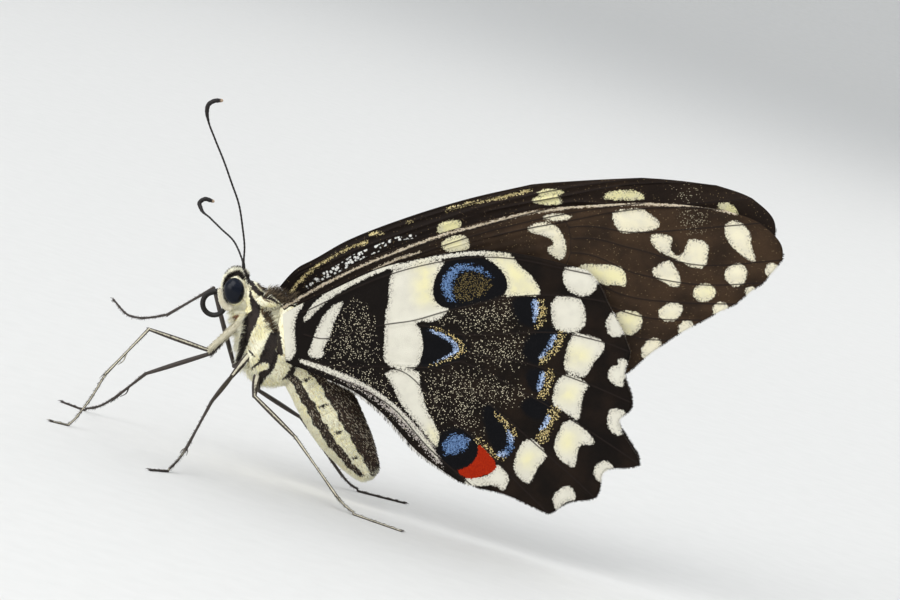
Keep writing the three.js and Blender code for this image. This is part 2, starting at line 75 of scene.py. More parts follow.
class Shade:
    """A socket of a material. Arithmetic on it adds Math nodes, and node() adds a node of any other kind."""

    def __init__(self, tree, socket=None):
        self.tree, self.socket = tree, socket

    def node(self, kind, settings=None, inputs=None, out=0):
        made = self.tree.nodes.new("ShaderNode" + kind)
        for key, value in (settings or {}).items():
            setattr(made, key, value)
        for key, value in (inputs or {}).items():
            if isinstance(value, Shade):
                self.tree.links.new(value.socket, made.inputs[key])
            else:
                made.inputs[key].default_value = value
        return Shade(self.tree, made.outputs[out] if len(made.outputs) else None)

    def maths(self, operation, *values):
        return self.node("Math", {"operation": operation}, dict(enumerate(values)))

    def __add__(self, other):
        return self.maths("ADD", self, other)

    def __sub__(self, other):
        return self.maths("SUBTRACT", self, other)

    def __rsub__(self, other):
        return self.maths("SUBTRACT", other, self)

    def __mul__(self, other):
        return self.maths("MULTIPLY", self, other)

    __radd__, __rmul__ = __add__, __mul__

    def step(self, low, high):
        """0 below low and 1 above high, smooth between; low may be the larger."""
        flip = low > high
        ends = {1: min(low, high), 2: max(low, high), 3: 1.0 if flip else 0.0, 4: 0.0 if flip else 1.0}
        return self.node("MapRange", {"interpolation_type": "SMOOTHSTEP"}, {0: self, **ends})

    def blend(self, a, b):
        """Colour a where this is 0, and b where it is 1."""
        return self.node("Mix", {"data_type": "RGBA"}, {0: self, 6: a, 7: b}, out=2)

    def noise(self, place, scale, detail=2.0):
        return self.node("TexNoise", None, {"Vector": place, "Scale": scale, "Detail": detail}, "Fac")

    def cells(self, place, scale, out="Distance"):
        return self.node("TexVoronoi", None, {"Vector": place, "Scale": scale}, out)

    def chances(self, place, scale):
        """Two random numbers from 0 to 1 for each cell."""
        colour = self.cells(place, scale, "Color")
        return [self.node("SeparateColor", None, {0: colour}, channel) for channel in (0, 1)]

    def read(self, name):
        return self.node("Attribute", {"attribute_name": name}, out="Fac")

    def bump(self, height, distance, strength):
        return self.node("Bump", None, {"Height": height, "Distance": distance, "Strength": strength})


def rgb(red, green, blue):
    return (red, green, blue, 1.0)


def finish(name, paint, plain):
    """A material: plain holds the numbers of its shader, and paint(shade, place) gives the sockets that
    vary, where place is the point in millimetres."""
    material = bpy.data.materials.new(name)
    material.use_nodes = True
    tree = material.node_tree
    tree.nodes.clear()
    shade = Shade(tree)
    own = shade.node("TexCoord", out="Object")
    place = shade.node("VectorMath", {"operation": "SCALE"}, {0: own, "Scale": 1 / MM})
    shader = shade.node("BsdfPrincipled", None, {**plain, **paint(shade, place)})
    shade.node("OutputMaterial", None, {"Surface": shader})
    return material


def card(shade, place):
    grain = shade.noise(place, 0.4, 6.0)
    return {
        "Base Color": grain.blend(rgb(0.70, 0.69, 0.66), rgb(0.76, 0.75, 0.72)),
        "Normal": shade.bump(grain, 0.00005, 0.3),
    }


def floor_points():
    """Rings (r cos a, r sin a, h), a row for each step of the profile (r, h): first flat, then
    r = flat + curve sin u and h = curve (1 - cos u) up a quarter round, then a wall."""
    turn = np.linspace(0, np.pi / 2, 24)
    level = np.array([0.002, 0.1, 0.4, 0.9])
    reach = np.r_[level, FLOOR_FLAT + FLOOR_CURVE * np.sin(turn), FLOOR_FLAT + FLOOR_CURVE][:, None]
    rise = np.r_[0 * level, FLOOR_CURVE * (1 - np.cos(turn)), FLOOR_CURVE + FLOOR_WALL][:, None]
    angle = np.linspace(0, 2 * np.pi, 96, endpoint=False)[None]
    ring = np.stack([reach * np.cos(angle), reach * np.sin(angle), rise + 0 * angle], -1)
    return ring, len(reach), angle.size


ring, rows, cols = floor_points()
floor_faces = [quads(rows, cols, True), [list(range(cols))[::-1]]]
floor = make("floor", ring.reshape(-1, 3), floor_faces, finish("pale_card", card, {"Roughness": 0.9}))
floor.data.flip_normals()

# ---- Camera and lights --------------------------------------------------------------------------------
# One long lens, a little above the insect's left side and rolled with the line of its wings, and three
# large soft lamps: one over the left, one behind and one low in front.
PITCH = np.radians(17.0)
CENTRE = np.array([13.6, -2.7])
ROOT_HEIGHT = 17.6


def placed(points):
    """Body frame to floor frame: turned by the pitch about y, lifted by the root's height, then centred."""
    x, y, z = np.moveaxis(np.asarray(points, float), -1, 0)
    along = x * np.cos(PITCH) - z * np.sin(PITCH) - CENTRE[0]
    up = x * np.sin(PITCH) + z * np.cos(PITCH) + ROOT_HEIGHT
    return np.stack([along, y - CENTRE[1], up], -1) * MM


def standing(points):
    """Legs are given along the floor from under the forewing root: only centred."""
    return (np.asarray(points, float) - [CENTRE[0], CENTRE[1], 0]) * MM


def aim(thing, back, up, target, distance):
    """Turns a thing whose -Z looks ahead so that it looks at the target from the direction back."""
    back = np.asarray(back, float) / np.linalg.norm(back)
    right = np.cross(up, back)
    right /= np.linalg.norm(right)
    axes = np.stack([right, np.cross(back, right), back, target + back * distance], -1)
    thing.matrix_world = Matrix(np.vstack([axes, [0, 0, 0, 1]]).tolist())


CAMERA_RISE = np.radians(6.0)
CAMERA_DISTANCE = 0.5
AIM_POINT = [16.7, 0, 0]
sight_back = np.array([0, -np.cos(CAMERA_RISE), np.sin(CAMERA_RISE)])
sight_up = np.array([0, np.sin(CAMERA_RISE), np.cos(CAMERA_RISE)])
rolled_up = np.cos(PITCH) * sight_up - np.sin(PITCH) * np.array([1.0, 0, 0])
target = placed(AIM_POINT)
camera = bpy.data.objects.new("camera", bpy.data.cameras.new("camera"))
camera.data.lens, camera.data.sensor_width = 200, 36
camera.data.clip_start, camera.data.clip_end = 0.01, 20
bpy.context.scene.collection.objects.link(camera)
aim(camera, sight_back, rolled_up, target, CAMERA_DISTANCE)
bpy.context.scene.camera = camera

# Each lamp: its direction from the insect, its distance and width in metres, and its power in watts.
LAMPS = {
    "key_lamp": ((-0.55, -0.75, 0.85), 0.75, 0.55, 2.6),
    "back_lamp": ((0.5, 0.9, 0.9), 0.8, 0.6, 1.8),
    "low_lamp": ((-1.0, -0.8, 0.05), 0.9, 0.7, 3.8),
}
for name, (back, distance, size, power) in LAMPS.items():
    light = bpy.data.lights.new(name, "AREA")
    light.size, light.energy = size, power
    lamp = bpy.data.objects.new(name, light)
    bpy.context.scene.collection.objects.link(lamp)
    aim(lamp, back, (0, 0, 1), target, distance)

world = bpy.data.worlds.new("studio")
world.use_nodes = True
sky = world.node_tree.nodes["Background"].inputs
sky["Color"].default_value = rgb(0.9, 0.94, 1.0)
sky["Strength"].default_value = 0.85
bpy.context.scene.world = world
bpy.context.scene.view_settings.view_transform = "Standard"

# ---- Head and body ------------------------------------------------------------------------------------
# One skin of thin horn over the head, collar, thorax, wing hinges and ringed abdomen, with bands of cream
# and black. The forms are grown into each other, so that no seam shows between them.
DRAWN_CORNER = np.array([28.3, 30.0])
SIGHT_SLOPE = np.array([-0.031, -0.100])


def drawn(points):
    """Points drawn in tenths of a millimetre, to the right of and below a corner 28.3 mm before and 30 mm
    above the forewing's root, as x and z of the body frame."""
    return (np.asarray(points, float) / 10 - DRAWN_CORNER) * [1, -1]


def as_seen(x, y, z):
    """Where a point at the distance y from the middle plane falls on the drawing, which looks a little down
    on the insect's side."""
    return x + SIGHT_SLOPE[0] * np.abs(y), z + SIGHT_SLOPE[1] * np.abs(y)


def softened(points):
    """A closed outline with its corners cut off at a quarter of each side."""
    after = np.roll(points, -1, 0)
    return np.stack([0.75 * points + 0.25 * after, 0.25 * points + 0.75 * after], 1).reshape(-1, 2)


FAR = 9.0


def off_path(x, z, path):
    """Distance in millimetres from each point to the nearest stretch of the path, up to FAR."""
    best = np.full(x.shape, FAR)
    for a, b in zip(path[:-1], path[1:]):
        run = b - a
        t = np.clip(((x - a[0]) * run[0] + (z - a[1]) * run[1]) / max(run @ run, 1e-12), 0, 1)
        best = np.minimum(best, np.hypot(x - a[0] - t * run[0], z - a[1] - t * run[1]))
    return best


REACH = 1.6


def depth_in(x, z, outlines):
    """How deep each point lies in the deepest of the outlines, below zero outside them, worked out within
    REACH. A point is inside where a level line to its right crosses the outline an odd number of times."""
    best = np.full(x.shape, -REACH)
    for outline in outlines:
        ring = softened(drawn(outline))
        low, high = ring.min(0) - REACH, ring.max(0) + REACH
        near = np.flatnonzero((x > low[0]) & (x < high[0]) & (z > low[1]) & (z < high[1]))
        if not near.size:
            continue
        px, pz = x[near], z[near]
        closed = np.vstack([ring, ring[:1]])
        a, b = closed[:-1], closed[1:]
        crosses = (a[:, 1, None] > pz) != (b[:, 1, None] > pz)
        rise = np.where(b[:, 1] == a[:, 1], 1e-9, b[:, 1] - a[:, 1])[:, None]
        left = px < (b[:, 0] - a[:, 0])[:, None] * (pz - a[:, 1, None]) / rise + a[:, 0, None]
        inside = (crosses & left).sum(0) % 2 == 1
        away = off_path(px, pz, closed)
        best[near] = np.maximum(best[near], np.where(inside, away, -away))
    return best


def cubic(u, span, a, b, slope_a, slope_b):
    """The cubic over a stretch as long as span, from a to b as u goes from 0 to 1, with the given slopes at
    its ends."""
    from_a = (2 * u**3 - 3 * u**2 + 1) * a + (u**3 - 2 * u**2 + u) * span * slope_a
    return from_a + ((3 * u**2 - 2 * u**3) * b + (u**3 - u**2) * span * slope_b)


def lengths_along(line):
    """Length of the line from its first point to each of its points."""
    return np.r_[0, np.cumsum(np.linalg.norm(np.diff(line, axis=0), axis=1))]


def through(knots, count):
    """Points evenly spaced along a smooth curve through the knots: between two knots a cubic whose end
    slopes are those of the knots' neighbours. The first three columns measure the length."""
    k = np.asarray(knots, float)
    s = lengths_along(k[:, :3])
    slope = np.gradient(k, s, axis=0)
    t = np.linspace(0, s[-1], 40 * len(k))
    i = np.clip(np.searchsorted(s, t, side="right") - 1, 0, len(k) - 2)
    h = (s[i + 1] - s[i])[:, None]
    p = cubic((t - s[i])[:, None] / h, h, k[i], k[i + 1], slope[i], slope[i + 1])
    arc = lengths_along(p[:, :3])
    at = np.linspace(0, arc[-1], count)
    return np.stack([np.interp(at, arc, column) for column in p.T], -1)


def unit(v):
    return v / np.maximum(np.linalg.norm(v, axis=-1, keepdims=True), 1e-12)


POLE_BULGE = 0.35


def trunk(stations, count=40, sides=48):
    """A closed form through stations (x, z, up, down, wide). At each stand two half ellipses square to the
    line: wide sin a to the side, and up cos a or down cos a towards the back or the belly."""
    s = np.asarray(stations, float)
    line = through(np.c_[s[:, 0], 0 * s[:, 0], s[:, 1], s[:, 2:]], count)
    along = unit(np.gradient(line[:, :3], axis=0))
    back = np.stack([-along[:, 2], 0 * along[:, 0], along[:, 0]], -1)
    a = np.linspace(0, 2 * np.pi, sides, endpoint=False)
    rise = np.cos(a) * np.where(np.cos(a) > 0, line[:, 3:4], line[:, 4:5])
    rings = line[:, None, :3] + rise[..., None] * back[:, None]
    rings[..., 1] = np.sin(a) * line[:, 5:6]
    front = line[0, :3] - POLE_BULGE * line[0, 3] * along[0]
    rear = line[-1, :3] + POLE_BULGE * line[-1, 3] * along[-1]
    return capped(rings, np.stack([front, rear]))


def capped(rings, ends):
    """Rings of points joined in order, and each end drawn to its pole."""
    n, sides = rings.shape[:2]
    k = np.arange(sides)
    after = (k + 1) % sides
    first = np.stack([0 * k + n * sides, after, k], -1)
    last = np.stack([0 * k + n * sides + 1, (n - 1) * sides + k, (n - 1) * sides + after], -1)
    return np.vstack([rings.reshape(-1, 3), ends]), [quads(n, sides, True), np.vstack([first, last])]


def ellipsoid(at, half, rows=28, cols=40):
    """Rings (sin d cos a, sin d sin a, cos d) of a ball, from top to bottom, each axis scaled to its own
    half length."""
    down = np.linspace(0, np.pi, rows + 2)[1:-1, None]
    a = np.linspace(0, 2 * np.pi, cols, endpoint=False)[None]
    ball = np.stack([np.sin(down) * np.cos(a), np.sin(down) * np.sin(a), np.cos(down) + 0 * a], -1)
    poles = np.array([[0, 0, half[2]], [0, 0, -half[2]]])
    return capped(np.asarray(at) + ball * half, np.asarray(at) + poles)


def joined(shapes):
    """Several shapes as one list of points and one list of faces."""
    offsets = np.cumsum([0] + [len(p) for p, _ in shapes])
    faces = [np.asarray(block) + o for (_, f), o in zip(shapes, offsets) for block in f]
    return np.vstack([p for p, _ in shapes]), faces


# Stations (x, z, up, down, wide) of the skin, which lies under the coat of scales.
THORAX = [
    (-2.9, -0.1, 1.2, 1.4, 1.3), (-2.55, -0.75, 1.95, 2.15, 1.95), (-1.95, -1.7, 2.7, 2.95, 2.45),
    (-1.2, -3.1, 3.4, 3.75, 2.75), (-0.4, -4.5, 3.55, 4.25, 2.75), (0.5, -5.9, 3.15, 4.15, 2.55),
    (1.2, -6.8, 2.5, 2.9, 2.1), (1.7, -7.4, 1.8, 1.5, 1.6),
]
COLLAR = [
    (-4.4, 1.0, 0.8, 0.9, 0.8), (-3.8, 0.75, 1.35, 1.4, 1.3), (-3.2, 0.25, 1.5, 1.6, 1.5),
    (-2.6, -0.5, 1.5, 1.6, 1.5), (-2.0, -1.4, 1.4, 1.4, 1.3),
]
BELLY_KNOTS = [
    (1.1, -5.9), (1.7, -6.9), (3.0, -8.6), (4.2, -10.6), (5.4, -12.8), (6.6, -14.7), (7.7, -16.4),
    (8.6, -17.65),
]
SEGMENTS = 9
RING_GROOVE = 0.03
BELLY_UP, BELLY_DOWN, BELLY_WIDE = 3.0, 2.7, 2.65

belly_line = through([(x, 0, z) for x, z in BELLY_KNOTS], 120)


def belly_stations():
    """The abdomen's girth: a sine arch, sin(pi (0.115 + 0.82 t)^0.88)^0.55, full in the middle, with a
    shallow groove between two rings."""
    t = np.linspace(0, 1, len(belly_line))
    wave = (t * SEGMENTS) % 1.0
    grooves = [RING_GROOVE * np.exp(-(((wave - centre) / 0.06) ** 2)) for centre in (0.04, 1.04)]
    full = np.sin(np.pi * (0.115 + 0.82 * t) ** 0.88) ** 0.55 * (1 - grooves[0] - grooves[1])
    return np.c_[belly_line[:, 0], belly_line[:, 2], BELLY_UP * full, BELLY_DOWN * full, BELLY_WIDE * full]


# Centre and half axes of the head, of the throat, and of the swellings at each side that lead the skin up to
# the root of the forewing, the root of the hindwing and the front of the shoulder.
HEAD = ((-4.6, 0, 1.05), (1.42, 1.32, 2.06))
THROAT = ((-4.3, 0, -1.55), (0.85, 1.0, 0.95))
SWELLINGS = [
    ((0.75, 2.35, -1.1), (1.0, 0.75, 1.25)),
    ((0.35, 3.15, -3.3), (0.75, 1.15, 2.5)),
    ((-1.35, 2.25, 0.05), (1.35, 0.75, 0.62)),
]
lobes = [ellipsoid((x, y * side, z), half) for side in (-1, 1) for (x, y, z), half in SWELLINGS]
belly = trunk(belly_stations(), 200, 64)
forms = [ellipsoid(*HEAD), trunk(COLLAR), trunk(THORAX, 60, 64), belly, *lobes, ellipsoid(*THROAT)]


def read_out(items, key, width=1, kind=np.float32):
    """One property of all the points or corners of a mesh, a row for each."""
    values = np.empty(width * len(items), kind)
    items.foreach_get(key, values)
    return values.reshape(-1, width)


VOXEL = 0.115
rough = make("rough", *joined(forms), None)
remesh = rough.modifiers.new("grow", "REMESH")
remesh.mode, remesh.voxel_size = "VOXEL", VOXEL
soften = rough.modifiers.new("soften", "SMOOTH")
soften.factor, soften.iterations = 0.5, 7
grown = rough.evaluated_get(bpy.context.evaluated_depsgraph_get()).to_mesh()
skin_points = read_out(grown.vertices, "co", 3).astype(float)
skin_normals = read_out(grown.vertices, "normal", 3).astype(float)
skin_faces = read_out(grown.loops, "vertex_index", kind=np.int32).reshape(-1, 4)
bpy.data.objects.remove(rough)

# Outlines drawn on the side of the head and thorax: black bands, brown hair and a rust-coloured cheek spot.
BLACK_BANDS = [
    [(246, 281), (250, 287), (252.5, 296), (258, 303), (262, 307), (261, 314), (258, 321), (256, 327),
     (252, 333), (250, 339), (248.5, 344), (245, 350), (243, 356), (240.5, 362), (239, 368), (237, 376),
     (233, 377), (231, 373), (234, 366), (236, 358), (238, 350), (239.5, 342), (241, 334), (243, 326),
     (243, 321), (245.5, 316), (250, 312.5), (252, 309), (250, 303), (249.5, 295), (249, 288)],
    [(243, 266), (248, 274), (252, 280), (257, 287), (262, 292), (268, 294), (275, 299), (282, 304),
     (280, 306), (272, 301), (265, 300), (262, 296), (258, 296), (254, 292), (250, 286), (246, 280),
     (244, 274)],
    [(271, 332), (276, 333), (279, 340), (279, 346), (276, 350), (279, 354), (278, 360), (275, 367),
     (272, 373), (266, 379), (261, 386), (256, 391), (253, 389), (256, 382), (258, 375), (262, 371),
     (268, 370), (270, 366), (266, 363), (258, 366), (252, 371), (250, 371), (254, 365), (259, 362),
     (261, 356), (264, 349), (267, 341), (269, 336)],
    [(296, 361), (299, 364), (296, 371), (292, 377), (287, 380), (281, 381), (286, 376), (291, 369),
     (293, 363)],
    [(273, 326), (278, 326), (281, 333), (283, 344), (284, 356), (279, 356), (276, 350), (279, 343),
     (276, 336), (272, 331)],
    [(248, 350), (250, 350), (256, 356.5), (255, 358.5), (249, 353)],
    [(223, 274), (226, 267), (232, 261), (239, 259), (247, 262), (245, 270), (240, 267.6), (233, 267.4),
     (228, 270.6), (225, 275)],
    [(222, 288), (223, 282), (225.6, 276.6), (229.4, 273.2), (234, 271.2), (239, 270.2), (243, 272.5),
     (246, 280), (243, 279.5), (240, 276.6), (236.5, 275.6), (232.5, 277.4), (229.4, 280.8),
     (227.2, 284.6), (226, 288.5)],
]
BROWN_HAIR = [
    [(256, 283), (263, 281), (272, 282), (284, 278), (300, 280), (306, 292), (301, 301), (290, 304),
     (284, 305), (276, 299), (268, 293), (260, 289)],
    [(260, 309), (266, 309), (274, 313), (273, 321), (280, 326), (280, 333), (272, 331), (268, 322),
     (262, 315)],
    [(262, 297), (266, 302), (274, 303), (280, 307), (276, 303), (268, 300)],
]
CHEEK_SPOT = [[(230, 322), (232.5, 316.5), (238, 314), (239.5, 316.5), (235.5, 320.5), (233, 323.5)]]


def on_belly(points):
    """Whether each point lies behind the plane through the waist."""
    return (points[:, 0] - 1.55) * 0.6 - (points[:, 2] + 7.0) * 0.8 > 0


def nearest_belly(points):
    """Number of the nearest point of the abdomen's axis."""
    x, z = points[:, :1], points[:, 2:]
    return np.argmin((x - belly_line[:, 0]) ** 2 + (z - belly_line[:, 2]) ** 2, axis=1)


def past_hinge(x, z):
    """How far behind the hinges of the forewings each point lies, measured along the wings."""
    return (x + 2.0) * 0.85 + (z + 1.3) * 0.53


# The abdomen's marks, as shares of its girth above its axis: where the dark back begins, the middle and half
# width of the dark band on each side, and the half width of the short dark dashes on every other ring.
BACK_EDGE, SIDE_BAND, SIDE_HALF, DASH_HALF = 0.27, -0.40, 0.175, 0.10
CHEST_BACK_HALF, CHEST_BACK_START = 1.7, 1.3
TAIL_NARROWING = 6  # both bands run to a point at the tail


def body_marks(points):
    """For each point, how deep it lies in a dark band, in the abdomen's dark back, in brown hair and in the
    cheek's spot, and its place in its ring of the abdomen."""
    x, y, z = points.T
    nearest = nearest_belly(points)
    way = nearest / (len(belly_line) - 1)
    along = unit(np.gradient(belly_line, axis=0))[nearest]
    off = (x - belly_line[nearest, 0]) * -along[:, 2] + (z - belly_line[nearest, 2]) * along[:, 0]
    girth = belly_stations()[nearest, 2]
    height = off / np.maximum(girth, 0.3)
    wander = 0.025 * np.sin(way * 31) + 0.025 * np.sin(way * 67 + 1)
    back_band = (height - BACK_EDGE - wander) * girth
    back_band = np.minimum(back_band, TAIL_NARROWING * (1.0 - way))
    side_band = (SIDE_HALF - np.abs(height - SIDE_BAND + wander)) * girth
    side_band = np.minimum(side_band, TAIL_NARROWING * (0.972 - way))
    wave = (way * SEGMENTS) % 1.0
    dash = DASH_HALF - 0.8 * np.hypot(wave - 0.5, height - 0.02 - 0.5 * (wave - 0.5))
    dash = np.where(np.floor(way * SEGMENTS) % 2 == 1, dash, -1)
    belly_dark = np.maximum(np.maximum(back_band, side_band), dash)
    side_x, side_z = as_seen(x, y, z)
    belly = on_belly(points)
    chest_back = np.minimum(CHEST_BACK_HALF - np.abs(y), past_hinge(x, z) - CHEST_BACK_START)
    return {
        "dark": np.where(belly, belly_dark, np.maximum(chest_back, depth_in(side_x, side_z, BLACK_BANDS))),
        "back": np.where(belly, np.maximum(back_band, side_band), -1.0),
        "ring": np.where(belly, wave, 0.5),
        "rust": depth_in(side_x, side_z, CHEEK_SPOT),
        "brown": np.where(belly, -1.0, depth_in(side_x, side_z, BROWN_HAIR)),
    }


FLOW = 0.82  # turns the way the coat lies, down and back, on to the z axis
FIBRE = (6.0, 6.0, 1.3)  # streaks to a millimetre, across and along the coat


def banded(shade, place):
    """Cream and black bands whose edge is ragged by the scales. The abdomen's back is brown, with pale
    dust. Painted shade darkens the cream in the grooves of the coat and between the abdomen's rings."""
    ragged = (shade.noise(place, 5.0, 3.0) - 0.5) * 0.5
    dark = (shade.read("dark") + ragged).step(-0.04, 0.06)
    turned = shade.node("VectorRotate", {"rotation_type": "Y_AXIS"}, {"Vector": place, "Angle": FLOW})
    drawn_out = shade.node("VectorMath", {"operation": "MULTIPLY"}, {0: turned, 1: FIBRE})
    fibre = shade.noise(drawn_out, 1.0, 3.0)
    warm = shade.noise(place, 0.5, 2.0).step(0.35, 0.65)
    cream = warm.blend(rgb(0.90, 0.84, 0.50), rgb(0.95, 0.92, 0.72))
    # The cream is darker where the streaks' noise is low, in the grooves of the bump: painted shade.
    cream = fibre.step(0.52, 0.30).blend(cream, rgb(0.62, 0.52, 0.30))
    soot = shade.noise(place, 1.5, 2.0).blend(rgb(0.010, 0.007, 0.006), rgb(0.030, 0.019, 0.013))
    coat = dark.blend(cream, soot)
    dust = shade.cells(place, 4.5).step(0.34, 0.20) * shade.read("back").step(0.0, 0.5)
    some = shade.noise(place, 3.0, 2.0).step(0.45, 0.60)
    coat = (dust * some).blend(coat, rgb(0.42, 0.35, 0.22))
    # Painted shade: the coat darkens in the grooves between two rings of the abdomen.
    crease_shade = shade.read("ring").step(0.10, 0.0) + shade.read("ring").step(0.93, 1.0)
    coat = (crease_shade * 0.45).blend(coat, rgb(0.20, 0.14, 0.08))
    coat = shade.read("rust").step(-0.1, 0.1).blend(coat, rgb(0.14, 0.06, 0.03))
    coat = (shade.read("brown") + ragged).step(-0.1, 0.1).blend(coat, rgb(0.10, 0.065, 0.035))
    scales = shade.cells(place, 9.0)
    return {
        "Base Color": coat,
        "Roughness": 0.85 - dark * 0.2,
        "Normal": shade.bump(scales * 0.5 + fibre, 0.00012, 0.6),
    }


skin_finish = finish("body_scales", banded, {"Specular IOR Level": 0.3})


def attach(piece, slot, *nodes):
    """Every piece is on the insect's one body, and stands for the solids named."""
    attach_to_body(piece, "root")
    if nodes:
        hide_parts(*nodes)
    return piece


skin = make("body_skin", placed(skin_points), [skin_faces], skin_finish, body_marks(skin_points))
attach(skin, "body_scales", "head", "prothorax", "thorax", "abdomen")

# ---- Coat of the body ---------------------------------------------------------------------------------
# Hair-like scales rooted in the skin: long and soft on the thorax, short bristles on the head, and flat
# scales on the abdomen, that overlap towards the tail. Each takes the colour of the band it grows from.


def tufts(roots, out, lean, length, width, seed, spread=0.25, curl=0.8, flat=1.0):
    """Three-sided blades: a base triangle, a narrower one half way and a tip. The first half runs along
    out + curl lean, and the second along out + 2.4 curl lean, each with a little chance in it. Flat below 1
    makes a blade thinner square to the surface."""
    n = len(roots)
    own = np.random.default_rng(seed)
    lean = unit(lean + spread * own.normal(size=(n, 3)))
    out = unit(out + 0.5 * spread * own.normal(size=(n, 3)))
    length = (length * own.uniform(0.65, 1.15, n))[:, None]
    first, second = unit(out + curl * lean), unit(out + 2.4 * curl * lean)
    a = unit(np.cross(first, out + 0.3 * own.normal(size=(n, 3))))
    b = flat * np.cross(first, a)
    turn = np.array([0, 2, 4]) * np.pi / 3
    star = a[:, None] * np.cos(turn)[:, None] + b[:, None] * np.sin(turn)[:, None]
    foot = roots - 0.05 * out
    middle = roots + 0.5 * length * first
    tip = middle + 0.5 * length * second
    star = star * (width / 2)
    points = np.concatenate([foot[:, None] + star, middle[:, None] + 0.75 * star, tip[:, None]], 1)
    i = 7 * np.arange(n)[:, None, None]
    k = np.array([0, 1, 2])
    after = (k + 1) % 3
    sides = np.stack([k, after, after + 3, k + 3], -1)[None] + i
    tips = np.stack([k + 3, after + 3, 0 * k + 6], -1)[None] + i
    base = np.array([[2, 1, 0]])[None] + i
    return points.reshape(-1, 3), [sides.reshape(-1, 4), np.concatenate([tips, base], 1).reshape(-1, 3)]


THIRDS = np.array([0, 2.09, 4.19])
PATCH_RADII = np.array([0.0015, 0.0009])[:, None]
TUFT_PATCH = np.stack([PATCH_RADII * np.cos(THIRDS), PATCH_RADII * np.sin(THIRDS)], -1).reshape(-1, 2)
TUFT_PATCH = np.vstack([TUFT_PATCH, [(0, 0)]])


def bake_map(piece, roots):
    """The map OFBake: each blade is a small patch at its root's place on the unwrapped skin."""
    layer = piece.data.uv_layers.new(name="OFBake")
    corner = read_out(piece.data.loops, "vertex_index", kind=np.int32).ravel()
    spots = (roots[:, None] + TUFT_PATCH[None]).reshape(-1, 2)
    layer.data.foreach_set("uv", spots[corner].astype(np.float32).ravel())


def swirl(points):
    """Sine waves over the body that make neighbouring hairs lean together, in locks a millimetre wide."""
    x, _, z = points.T
    waves = [np.sin(5.1 * z + 2.0 * x), np.sin(3.2 * x - 2.1 * z + 1), np.sin(4.3 * x - 3.9 * z + 2)]
    return np.stack(waves, -1)


def coat(name, chosen, lean, length, width, seed, lock=0.0, **how):
    """Blades on the chosen faces of the skin, each at a random place on its face. Lock draws neighbours
    together."""
    own = np.random.default_rng(seed + 500)
    weights = own.dirichlet(np.ones(4), len(chosen))[..., None]
    corner = skin_faces[chosen]
    roots = (skin_points[corner] * weights).sum(1)
    out = unit((skin_normals[corner] * weights).sum(1))
    lean = unit(lean + lock * swirl(roots))
    blade_points, blade_faces = tufts(roots, out, lean, length, width, seed, **how)
    middle = blade_points.reshape(-1, 7, 3)[:, 3:].mean(1)
    values = {key: np.repeat(v, 7) for key, v in body_marks(middle).items()}
    values["tip"] = np.tile([0, 0, 0, 0.5, 0.5, 0.5, 1.0], len(chosen))
    values["odd"] = np.repeat(own.uniform(0, 1, len(chosen)), 7)
    piece = make(name, placed(blade_points), blade_faces, hair_finish, values)
    around = np.arctan2(roots[:, 1], roots[:, 2] + 3) / (2 * np.pi) + 0.5
    bake_map(piece, 0.02 + 0.96 * np.c_[around, (roots[:, 0] + 7) / 18])
    return attach(piece, "body_scales")


def hairs(shade, place):
    """The band's colour, ragged from hair to hair and a little paler at the tips."""
    odd, tip = shade.read("odd"), shade.read("tip")
    dark = (shade.read("dark") + (odd - 0.5) * 0.12).step(-0.03, 0.03)
    cream = odd.step(0.0, 0.35).blend(rgb(0.92, 0.82, 0.50), rgb(1.0, 0.97, 0.74))
    cream = (tip * 0.6).blend(cream, rgb(1.0, 0.99, 0.90))
    back = shade.read("back").step(0.0, 0.25)
    soot = (tip * odd).blend(rgb(0.010, 0.008, 0.007), rgb(0.060, 0.045, 0.035))
    soot = back.blend(soot, odd.blend(rgb(0.020, 0.012, 0.008), rgb(0.110, 0.066, 0.042)))
    coat_colour = dark.blend(cream, soot)
    pollen = shade.noise(place, 0.45, 2.0).step(0.35, 0.65) * 0.16
    dusty = (odd + pollen - 0.86).step(0.0, 0.03) * back
    coat_colour = (dusty * 0.9).blend(coat_colour, rgb(0.66, 0.58, 0.44))
    coat_colour = (shade.read("rust").step(-0.1, 0.15) * 0.85).blend(coat_colour, rgb(0.14, 0.065, 0.03))
    brown = (shade.read("brown") + (odd - 0.5) * 0.3).step(-0.03, 0.03)
    fur = (odd * odd).blend(rgb(0.022, 0.014, 0.010), rgb(0.26, 0.19, 0.11))
    coat_colour = brown.blend(coat_colour, fur)
    return {"Base Color": coat_colour, "Roughness": 0.75 - dark * 0.15}


hair_finish = finish("body_hair", hairs, {"Specular IOR Level": 0.3})

EYE = ((-4.83, 1.22, 1.0), (1.05, 0.82, 1.32))
(ex, ey, ez), (hx, hy, hz) = EYE
centre_of = skin_points[skin_faces].mean(1)
cx, cy, cz = centre_of.T
nx, _, nz = skin_normals[skin_faces].mean(1).T
eye_off = np.sqrt(((cx - ex) / hx) ** 2 + ((cz - ez) / hz) ** 2)
face_belly = on_belly(centre_of)
face_head = (cx < -3.6) & (cz > -1.2) & ~face_belly
bare_eye = face_head & (eye_off < 1.12) & (np.abs(cy) > 0.7)
wing_root = (np.abs(cy) > 2.75) & ~face_belly
chest = ~face_belly & ~face_head & ~wing_root
nape = chest & (nz > 0.35) & (cx > -2.0)
shoulder = chest & (np.abs(cy) > 0.9) & (nz > 0.1) & (cx > -1.9) & (cx < 1.0)
throat = ~face_belly & (nx < -0.6) & (cx < -1.6) & (cz < -0.8) & (cz > -6.8)
cheek = face_head & ~bare_eye & (cz < 0.3)
crown = face_head & ~bare_eye & (cz >= 0.3)

